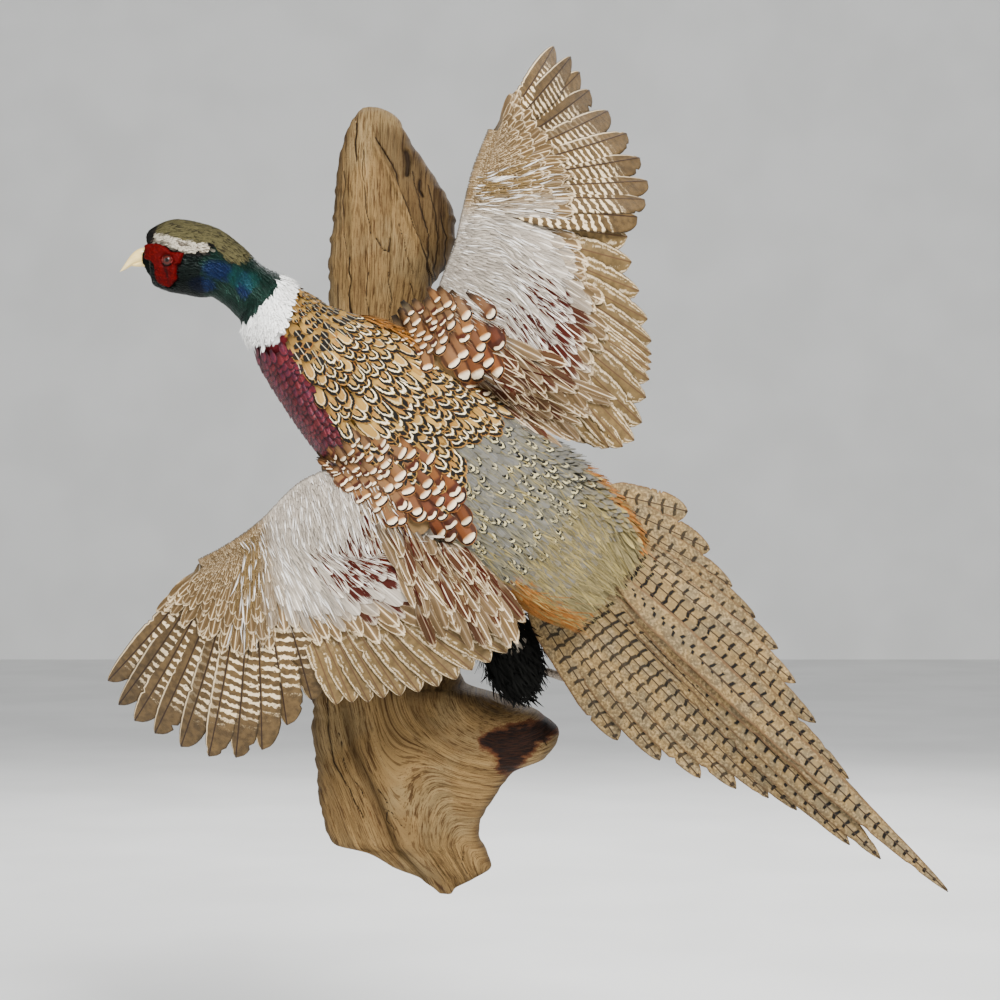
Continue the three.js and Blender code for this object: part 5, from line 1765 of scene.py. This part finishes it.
SCAPULAR_PATCHES = {  # corners (x, z) in mm: the two ends of the first row, then of the last
    LEFT: ((-84, 92), (-72, 16), (88, 50), (56, -70)),
    RIGHT: ((-18, 136), (8, 196), (72, 76), (122, 164)),
}

SCAPULAR_EDGES = {  # where the tips of the spotted feathers may lie, as (x, z) in mm
    LEFT: [(-58, 38), (-42, 52), (-12, 53), (13, 49), (36, 36), (55, 17), (68, -6), (66, -32), (47, -32),
           (26, -20), (4, -12), (-17, -3), (-38, 8), (-55, 25)],
    RIGHT: [(4, 146), (16, 163), (36, 172), (56, 171), (77, 163), (89, 148), (94, 126), (93, 97), (77, 92),
            (61, 102), (42, 112), (28, 124), (13, 134)],
}


def make_scapulars():
    """Spotted feathers over each shoulder, larger to the rear, lying down and back."""
    for side, corners in SCAPULAR_PATCHES.items():
        drape(f"scapular_{side}", corners, 48, 40, flesh["tree"], 0.5, blur=6)
        ground = grounds[f"scapular_{side}"]
        share = np.linspace(0, 1, 48)[:, None, None]
        rear, front = ease(0.35, 0.8, share), ease(0.22, 0.08, share) * (side == RIGHT)
        q = plumage()
        colours = np.array(q.scapular) * (1 - rear) + np.array(q.scapular_rear) * rear
        ground.colours = colours * (1 - front) + np.array(q.mottle) * front + 0 * ground.places
        turn = -0.5 if side == LEFT else -0.62
        rows = []
        for low, high, step, gap, length, width in ((0.0, 0.42, 7.4, 8.6, 18, 11.5),
                                                    (0.36, 0.97, 11.0, 12.0, 28, 16)):
            roots = ground.roots((low, high), (0.0, 1.0), step, gap, 71, jitter=0.22)
            tips = ground.at(roots)
            along = unit(ground.at(roots, ground.by_row))
            lateral = unit(np.cross(ground.at(roots, ground.normals), along))
            tips = tips + (along * math.cos(turn) + lateral * math.sin(turn)) * length * 0.7 * MM
            keep = polygon_distance(SCAPULAR_EDGES[side], tips[:, 0] / MM, tips[:, 2] / MM) > -1.0
            start = ground.at(roots) / MM
            keep &= polygon_distance(SCAPULAR_EDGES[side], start[:, 0], start[:, 2]) > -9
            rows.append(lay(ground, roots[keep], length, width, rounded(0.64), CONTOUR, 8, (1.2, 3.8),
                            turn=turn, spread=0.12, size_jitter=0.16, seed=72 + (side == LEFT)))
        coat_piece(f"plumage_scapulars_{side}", [joined_rows(rows)], "scapular_plume", "body_feathers")


TERTIAL_PATCHES = {  # corners (x, z) in mm of the loose feathers between the shoulder and the secondaries
    LEFT: ((-14, -14), (62, -34), (44, -132), (113, -98)),
    RIGHT: ((86, 142), (62, 98), (192, 84), (136, 34)),
}


def make_tertials():
    """Loose brown, maroon and cream feathers from the shoulder over the inner secondaries."""
    for side, corners in TERTIAL_PATCHES.items():
        under = ("skin", f"secondaries_{side}", f"plumage_greater_coverts_{side}")
        tree = surface_tree([bpy.data.objects[name] for name in under])
        drape(f"tertial_{side}", corners, 40, 30, tree, 0.3, blur=8)
        ground = grounds[f"tertial_{side}"]
        ground.colours = np.array(plumage().covert_tan) + 0 * ground.places
        roots = ground.roots((0.0, 0.62), (0.0, 1.0), 12, 7, 871, jitter=0.3)
        key = ground.keys(roots)[0]
        broad = lay(ground, roots, np.interp(key, [0, 0.6], [34, 52]), 11, rounded(0.5, 0.45, 1.4), CONTOUR, 8,
                    (0.6, 3.4), spread=0.1, size_jitter=0.2, camber=0.12, ragged=0.25, seed=872)
        broad["chance"][:, 1] = broad["chance"][:, 1] * (0.5 + 0.5 * ease(0.6, 0.2, key))
        broad["chance"][:, 2] = 0.6 + 0.4 * broad["chance"][:, 2]
        coat_piece(f"plumage_tertials_{side}", [broad], "covert_plume", "wing_coverts")
        roots = ground.roots((0.0, 0.5), (0.0, 1.0), 12, 6.5, 873, jitter=0.4)
        fine = lay(ground, roots, 30, 1.0, strand, COARSE, 2, (2.0, 4.2), spread=0.16, curl=0.05,
                   size_jitter=0.4, seed=874)
        chance = dice(875).uniform(0, 1, len(roots))
        fine["tint"][:] = np.where(chance[:, None] < 0.5, np.array(plumage().flight_cream),
                                   np.array(plumage().covert_maroon))
        coat_piece(f"plumage_tertial_silk_{side}", [fine], "rust_plume", "wing_coverts")


def covert_row(side, face, share, length, gap, low_key, high_key, seed):
    """Roots, lengths in mm and keys of a row of coverts whose tips lie at a share of the coverts' reach."""
    ground = grounds[f"{face}_{side}"]
    chance = dice(seed)
    keys = np.linspace(low_key, high_key, 160)
    tip = share * covert_reach(side, keys)
    grow = np.interp(keys, [-0.5, 4, 9, 14, 22], [0.52, 0.68, 0.82, 1.0, 1.0])
    size = np.minimum(length * grow, tip * 0.95 + 5)
    root = np.maximum(tip - size, 0.2)
    i, j = ground.row_index(root), ground.column_index(keys)
    line = ground.look(ground.places, i, j)
    run = np.concatenate([[0], np.cumsum(np.linalg.norm(np.diff(line, axis=0), axis=1))]) / MM
    number = max(int(run[-1] / gap), 2)
    c = np.arange(number)
    at = (c + 0.5 + chance.uniform(-0.25, 0.25, number)) / number * run[-1]
    spot_i = np.interp(at, run, i) + chance.normal(0, 0.02 * length, number)
    spot_j = np.interp(at, run, j)
    roots = np.stack([np.maximum(spot_i, 0), spot_j, (c + 0.5) / number, np.full(number, share),
                      np.full(number, 0.9 / number), np.full(number, 0.05)], axis=1)
    return roots, np.interp(at, run, size), np.interp(at, run, keys)


def covert_rows(side, face, shares, lengths, widths, lifts, high_key, seed, outline, stations, columns):
    """Rows of coverts from the trailing row to the leading edge, as one batch."""
    rows = []
    for r, (share, length, width) in enumerate(zip(shares, lengths, widths)):
        roots, size, keys = covert_row(side, face, share, length, width * 0.62, -0.35, high_key, seed + r)
        roots[:, 3], roots[:, 5] = (r + 0.5) / len(shares), 0.9 / len(shares)
        thin = np.interp(keys, [0, 9, 14], [0.66, 0.8, 1])
        high = lifts[0] + (lifts[1] - lifts[0]) * (1 - share)
        batch = lay(grounds[f"{face}_{side}"], roots, size, width * thin, outline, stations, columns,
                    (0.3, high + 0.045 * length), spread=0.06, camber=0.07, size_jitter=0.14,
                    seed=seed + 50 + r)
        reddish = ease(13.0, 15.5, keys) * ease(0.30, 0.5, share) * ease(1.02, 0.95, share)
        batch["chance"][:, 1] = reddish * (0.25 + 0.75 * batch["chance"][:, 1])
        tan = np.maximum(ease(10.6, 7.2, keys + 2 * (share - 0.5)), 0.95 * ease(0.84, 1.0, share))
        batch["chance"][:, 2] = np.clip(np.maximum(tan, ease(20.4, 22.0, keys)), 0, 1)
        rows.append(batch)
    return joined_rows(rows)


def make_wing_coverts():
    """Greater and lesser coverts, the shoulder's silk, the alula and the lining of the under side."""
    for side in (LEFT, RIGHT):
        shares = np.array([1.0, 0.91, 0.80, 0.68, 0.58])
        lengths, widths = np.array([58, 54, 50, 42, 30]), np.array([10.5, 10.0, 9.4, 8.6, 7.4])
        rows = covert_rows(side, "top", shares, lengths, widths, (0.4, 2.4), 22.6, 810, rounded(0.6, 0.5, 1.35),
                           CONTOUR, 8)
        coat_piece(f"plumage_greater_coverts_{side}", [rows], "covert_plume", "wing_coverts")
        shares = np.array([0.52, 0.465, 0.41, 0.36, 0.31, 0.265, 0.22, 0.18, 0.145, 0.11, 0.08, 0.055, 0.03])
        lengths = np.interp(shares, [0.03, 0.5], [8, 22])
        rows = covert_rows(side, "top", shares, lengths, lengths * 0.16 + 2.2, (0.6, 1.6), 23.6, 860,
                           rounded(0.6, 0.45, 1.5), COARSE, 4)
        coat_piece(f"plumage_lesser_coverts_{side}", [rows], "covert_plume", "wing_coverts")
        ground = grounds[f"top_{side}"]
        roots = ground.roots((3, 100), (5.0, 23.4), 3.6, 2.6, 905)
        distance, key = ground.keys(roots)
        share = distance / covert_reach(side, key)
        often = ease(0.88, 0.5, share) * ease(5.5, 9.0, key + 2.5 * (1 - share))
        kept = dice(906).uniform(0, 1, len(roots)) < often * 0.9
        roots, key, share = roots[kept], key[kept], share[kept]
        silk = lay(ground, roots, np.interp(share, [0.05, 0.6], [9, 24]),
                   np.interp(share, [0.05, 0.6], [1.0, 1.5]), strand, COARSE, 2, (1.6, 3.4), spread=0.09,
                   curl=0.04, size_jitter=0.3, seed=907)
        reddish = ease(12.8, 15.0, key) * ease(0.28, 0.45, share)
        ruddy = dice(908).uniform(0, 1, len(roots)) < 0.4 * reddish
        silk["tint"][ruddy] = plumage().covert_maroon
        coat_piece(f"plumage_shoulder_silk_{side}", [silk], "silky_plume", "wing_coverts")
        reach = float(covert_reach(side, 0.0))
        roots = ground.roots((1.5, 0.72 * reach), (-0.5, 0.3), 6, 2.2, 930)
        far = ground.keys(roots)[0] / reach
        alula = lay(ground, roots, np.interp(far, [0, 0.7], [46, 34]), np.interp(far, [0, 0.7], [11, 6]),
                    rounded(0.35, 0.45, 1.35), CONTOUR, 8, (0.2, 1.0), spread=0.03, seed=931)
        alula["chance"][:, 1], alula["chance"][:, 2] = 0, 1
        coat_piece(f"plumage_alula_{side}", [alula], "covert_plume", "wing_coverts")
        shares = np.array([1.0, 0.85, 0.7, 0.56, 0.43, 0.31, 0.2, 0.1])
        lengths = np.interp(shares, [0.1, 1], [12, 40])
        rows = covert_rows(side, "under", shares, lengths, lengths * 0.14 + 4.5, (0.4, 1.2), 25, 940,
                           rounded(0.68, 0.5, 1.9), COARSE, 4)
        coat_piece(f"plumage_under_wing_{side}", [rows], "under_plume", "wing_coverts")


def make_flight_feathers():
    """Ten primaries and the visible secondaries of each wing."""
    for side in (LEFT, RIGHT):
        vanes = flight_feathers(side)
        quill_piece(f"primaries_{side}", vanes[:PRIMARIES], "primary_vane", "flight_feathers",
                    f"wing_{side}_primaries")
        quill_piece(f"secondaries_{side}", vanes[PRIMARIES:], "secondary_vane", "flight_feathers",
                    f"wing_{side}_secondaries")


def make_tail():
    """The tail in three fans, the middle one the longest."""
    vanes = tail_feathers()
    for name, low, high in (("right", -1, 7.5), ("centre", 7.5, 10.5), ("left", 10.5, 19)):
        own_vanes = [v for v in vanes if low < v["key"] < high]
        quill_piece(f"tail_{name}_feathers", own_vanes, "tail_vane", "tail_feathers", f"tail_{name}")


# How many plumes hang on the thighs, and where they point.
THIGH_PLUMES, THIGH_LIE = 1500, unit(np.array([0.55, 0.25, -0.8]))


def make_thigh_down():
    """Black down over both thighs, hanging down and back."""
    piece = remade("thigh_ground", ["thigh_left", "thigh_right"], 2.5, 4)
    chance = dice(91)
    normals = np.array([v.normal[:] for v in piece.data.vertices])
    places = vertex_array(piece)
    pick = chance.permutation(len(places))[:THIGH_PLUMES]
    n, out = len(pick), normals[pick]
    flat = THIGH_LIE - out * dot(out, THIGH_LIE)
    direction = unit(flat + chance.normal(0, 0.25, (n, 3)))
    across = unit(np.cross(out, direction))
    base, direction, across, out = (values[:, None, None] for values in (places[pick], direction, across, out))
    u, v = np.array([[[-1], [0], [1.0]]]), HAIR[:, None, None]
    length, width = (chance.uniform(*sizes, n)[:, None, None, None] * MM for sizes in ((10, 17), (2, 3.4)))
    half = strand(v)
    grid = base + direction * (v * length) + across * (u * half * width / 2)
    grid = grid + out * (0.3 + 2.2 * v ** 1.2 - 0.3 * np.abs(u)) * MM
    order = np.arange(n)
    side = int(math.ceil(math.sqrt(n)))
    size = np.full(n, 0.8 / side)
    patch = np.stack([(order % side + 0.5) / side, (order // side + 0.5) / side, size, size], axis=1)
    plan = np.stack(np.broadcast_arrays(0.5 + u * half / 2, v), axis=-1)[:, :, 0]
    batch = {"vertices": grid, "plan": plan, "tint": np.tile(np.array(plumage().thigh), (n, 1)),
             "chance": chance.uniform(0, 1, (n, 3)), "patch": patch}
    bpy.data.objects.remove(piece)
    coat_piece("plumage_thighs", [batch], "dark_plume", "dark_down")


# Metres, and the camera's sensor in mm.
CAMERA_PLACE, LAMP_AIM, SENSOR, FLOOR_SIZE = (0.093, -2.2, 0), (0.1, -0.1, 0), 36, 14


def make_stage():
    """A pale floor that rises behind the mount, three lamps and the camera."""
    p = sizes()
    bpy.ops.object.select_all(action="DESELECT")
    bpy.ops.mesh.primitive_plane_add(size=FLOOR_SIZE, location=(0, 0, p.floor_height))
    floor = bpy.context.active_object
    floor.name = "stage_floor"
    bpy.ops.object.mode_set(mode="EDIT")
    bpy.ops.mesh.select_all(action="DESELECT")
    bpy.ops.object.mode_set(mode="OBJECT")
    for edge in floor.data.edges:
        edge.select = all(floor.data.vertices[v].co.y > FLOOR_SIZE / 2 - 0.1 for v in edge.vertices)
    bpy.ops.object.mode_set(mode="EDIT")
    bpy.ops.mesh.select_mode(type="EDGE")
    bpy.ops.mesh.extrude_region_move(TRANSFORM_OT_translate={"value": (0, 0.6, 8)})
    bpy.ops.object.mode_set(mode="OBJECT")
    bpy.ops.object.transform_apply(location=True)
    floor.data.materials.append(finish("pale_floor"))
    world = bpy.data.worlds.new("studio")
    bpy.context.scene.world = world
    world.use_nodes = True
    world.node_tree.nodes["Background"].inputs["Color"].default_value = (0.93, 0.95, 1.0, 1)
    world.node_tree.nodes["Background"].inputs["Strength"].default_value = p.sky_light
    for name, place, size, power in (
            ("key", (1.3, -3.3, 2.4), 1.5, p.key_light),
            ("fill", (-2.2, -2.2, 0.6), 2.0, p.key_light * 0.11),
            ("back", (0.4, 2.4, 1.6), 2.0, p.key_light * 0.17)):
        light = bpy.data.lights.new(name, "AREA")
        light.size, light.energy = size, power
        lamp = bpy.data.objects.new(name, light)
        lamp.location = place
        lamp.rotation_mode = "QUATERNION"
        lamp.rotation_quaternion = (Vector(LAMP_AIM) - Vector(place)).to_track_quat("-Z", "Y")
        bpy.context.scene.collection.objects.link(lamp)
    camera = bpy.data.cameras.new("camera")
    camera.sensor_width, camera.sensor_height = SENSOR, SENSOR
    camera.lens = SENSOR / 2 / math.tan(math.radians(p.view_angle) / 2)
    eye = bpy.data.objects.new("camera", camera)
    eye.location = CAMERA_PLACE
    eye.rotation_euler = (math.radians(90), 0, 0)
    bpy.context.scene.collection.objects.link(eye)
    bpy.context.scene.camera = eye


# ---------------------------------------------------------------- the add-on


def colour(name, description, *default):
    return FloatVectorProperty(name=name, description=description, default=default, size=3, min=0, max=1,
                               subtype="COLOR")


class PheasantSizes(bpy.types.PropertyGroup):
    """Sizes that a maker may change."""

    coat_depth: FloatProperty(name="Coat depth", description="How far the skin lies inside the plumage",
                              default=0.0022, min=0.0005, max=0.004, unit="LENGTH")
    floor_height: FloatProperty(name="Floor height", description="Height of the studio floor", default=-0.62,
                                unit="LENGTH")
    view_angle: FloatProperty(name="View angle", description="The camera's angle of view in degrees",
                              default=23.86, min=5, max=90)
    key_light: FloatProperty(name="Key light", description="Power of the main lamp", default=520, min=0)
    sky_light: FloatProperty(name="Sky light", description="Strength of the surrounding light", default=0.42,
                             min=0)


class PheasantPlumage(bpy.types.PropertyGroup):
    """Colours of the plumage, the soft parts and the wood."""

    crown: colour("Crown", "Olive-grey crown", 0.068, 0.059, 0.026)
    eyebrow: colour("Brow", "Pale stripe under the crown", 0.42, 0.375, 0.29)
    forehead: colour("Forehead", "Black forehead", 0.005, 0.0045, 0.004)
    neck_green: colour("Neck green", "Glossy green-black of the neck", 0.0025, 0.012, 0.008)
    neck_blue: colour("Neck blue", "Glossy blue of the neck", 0.003, 0.007, 0.048)
    neck_teal: colour("Neck teal", "Blue-green gloss by the collar", 0.003, 0.032, 0.029)
    collar: colour("Collar", "White collar", 0.95, 0.94, 0.9)
    breast: colour("Breast", "Maroon breast", 0.08, 0.007, 0.01)
    breast_purple: colour("Breast gloss", "Purple gloss of the breast", 0.065, 0.008, 0.022)
    mantle: colour("Mantle", "Golden mantle", 0.265, 0.135, 0.026)
    mantle_cream: colour("Mantle cream", "Cream-gold middle of the mantle feathers", 0.37, 0.215, 0.05)
    mantle_white: colour("Mantle white", "Cream line round the mantle feathers", 0.82, 0.7, 0.46)
    spot_cream: colour("Spot cream", "Cream drops of the scapulars", 0.8, 0.645, 0.44)
    mantle_edge: colour("Mantle edge", "Golden-brown margin of the mantle feathers", 0.19, 0.07, 0.014)
    scapular: colour("Scapular", "Chestnut of the scapulars", 0.155, 0.08, 0.033)
    mottle: colour("Mottled shoulder", "Grey-brown feathers in front of the right shoulder", 0.05, 0.04, 0.022)
    scapular_rear: colour("Scapular rear", "Dark chestnut of the rear scapulars", 0.085, 0.018, 0.006)
    back: colour("Back", "Grey-green back", 0.145, 0.13, 0.085)
    back_blue: colour("Back blue", "Blue-grey of the back", 0.105, 0.105, 0.108)
    rump: colour("Rump", "Olive-grey rump", 0.165, 0.132, 0.062)
    rust: colour("Rust", "Orange patches at the tail's base", 0.24, 0.092, 0.02)
    flank: colour("Flank", "Golden-orange flank", 0.3, 0.12, 0.022)
    belly: colour("Belly", "Black-brown belly", 0.012, 0.008, 0.006)
    vent: colour("Vent", "Chestnut-brown under the tail", 0.05, 0.02, 0.01)
    thigh: colour("Thigh", "Black thigh down", 0.003, 0.003, 0.0025)
    shoulder_grey: colour("Shoulder grey", "Silky grey of the wing's shoulder", 0.355, 0.305, 0.245)
    covert_pale: colour("Covert pale", "Pale streaks in the grey coverts", 0.5, 0.44, 0.37)
    shaft_white: colour("Shaft white", "Pale shafts of the coverts", 0.86, 0.79, 0.69)
    covert_tan: colour("Covert tan", "Tan of the coverts by the hand and the body", 0.19, 0.115, 0.05)
    covert_maroon: colour("Covert maroon", "Maroon of the greater coverts", 0.042, 0.005, 0.002)
    under_wing: colour("Under wing", "Pale lining of the wing", 0.36, 0.31, 0.25)
    flight_brown: colour("Flight brown", "Brown of the primaries", 0.069, 0.042, 0.016)
    flight_tan: colour("Flight tan", "Tan of the secondaries", 0.155, 0.098, 0.037)
    flight_cream: colour("Flight cream", "Cream bars and edges", 0.7, 0.545, 0.335)
    tail_buff: colour("Tail buff", "Buff of the tail", 0.202, 0.133, 0.054)
    tail_grey: colour("Tail grey", "Grey-brown of the tail", 0.145, 0.108, 0.056)
    # painted shade along the edges of the tail feathers
    tail_edge_shade: colour("Tail edge shade", "Edges of the tail feathers", 0.12, 0.065, 0.03)
    wattle: colour("Wattle", "Crimson face skin", 0.06, 0.0003, 0.0004)
    bill: colour("Bill", "Cream bill", 0.7, 0.52, 0.19)
    wood: colour("Wood", "Golden-brown driftwood", 0.185, 0.115, 0.044)
    wood_pale: colour("Pale wood", "Pale streaks of the driftwood", 0.27, 0.18, 0.082)
    wood_dark: colour("Dark wood", "Dark streaks of the driftwood", 0.035, 0.015, 0.004)
    wood_mid: colour("Mid wood", "Middle brown of the driftwood", 0.112, 0.068, 0.026)
    wood_grey: colour("Grey wood", "Weathered olive-grey of the driftwood", 0.165, 0.118, 0.056)


class PieceOperator:
    """Shared running of the operators: each makes its pieces once."""

    bl_options = {"REGISTER", "UNDO"}

    def execute(self, context):
        self.maker()
        return {"FINISHED"}


def piece_operator(name, label, text, maker):
    """An operator that makes one group of like pieces."""
    body = {"bl_idname": f"pheasant.{name}", "bl_label": label, "__doc__": text, "maker": staticmethod(maker)}
    return type(f"PHEASANT_OT_{name}", (PieceOperator, bpy.types.Operator), body)


OPERATORS = [piece_operator(*row) for row in (
    ("grounds", "Lay out the body", "Lays out the grids that the plumage follows", make_grounds),
    ("skin", "Skin", "Makes the one skin under the plumage", make_skin),
    ("driftwood", "Driftwood", "Carves the driftwood", make_driftwood),
    ("fixings", "Fixings", "Finishes the rods and the hanger", make_fixings),
    ("face", "Face", "Makes the eyes, the red face skin and the bill", make_face),
    ("feet", "Feet", "Makes the scaled feet and claws", make_feet),
    ("head_plumage", "Head plumage", "Lays the crown, brow, neck and ear tufts", make_head_plumage),
    ("collar", "Collar", "Lays the white collar", make_collar),
    ("body_plumage", "Body plumage", "Lays the breast, mantle, back, rump and belly", make_body_plumage),
    ("scapulars", "Scapulars", "Lays the spotted shoulder feathers", make_scapulars),
    ("wing_coverts", "Wing coverts", "Lays the coverts of both wings", make_wing_coverts),
    ("flight_feathers", "Flight feathers", "Makes the primaries and secondaries", make_flight_feathers),
    ("tertials", "Tertials", "Lays the loose feathers over the inner secondaries", make_tertials),
    ("tail", "Tail", "Makes the tail feathers", make_tail),
    ("thighs", "Thigh down", "Lays the black down of the thighs", make_thigh_down),
    ("stage", "Stage", "Makes the floor, the lamps and the camera", make_stage),
)]


class PHEASANT_PT_panel(bpy.types.Panel):
    """The mount's pieces and settings."""

    bl_label = "Pheasant wall mount"
    bl_idname = "PHEASANT_PT_panel"
    bl_space_type = "VIEW_3D"
    bl_region_type = "UI"
    bl_category = "Pheasant"

    def draw(self, context):
        for group in (context.scene.pheasant_sizes, context.scene.pheasant_plumage):
            for key in group.__annotations__:
                self.layout.prop(group, key)
        for operator in OPERATORS:
            self.layout.operator(operator.bl_idname)


CLASSES = [PheasantSizes, PheasantPlumage, *OPERATORS, PHEASANT_PT_panel]


def register():
    for made in CLASSES:
        bpy.utils.register_class(made)
    bpy.types.Scene.pheasant_sizes = PointerProperty(type=PheasantSizes)
    bpy.types.Scene.pheasant_plumage = PointerProperty(type=PheasantPlumage)


def unregister():
    del bpy.types.Scene.pheasant_plumage
    del bpy.types.Scene.pheasant_sizes
    for made in reversed(CLASSES):
        bpy.utils.unregister_class(made)


def main():
    register()
    for operator in OPERATORS:
        getattr(bpy.ops.pheasant, operator.bl_idname.split(".")[1])()


if __name__ == "__main__":
    main()
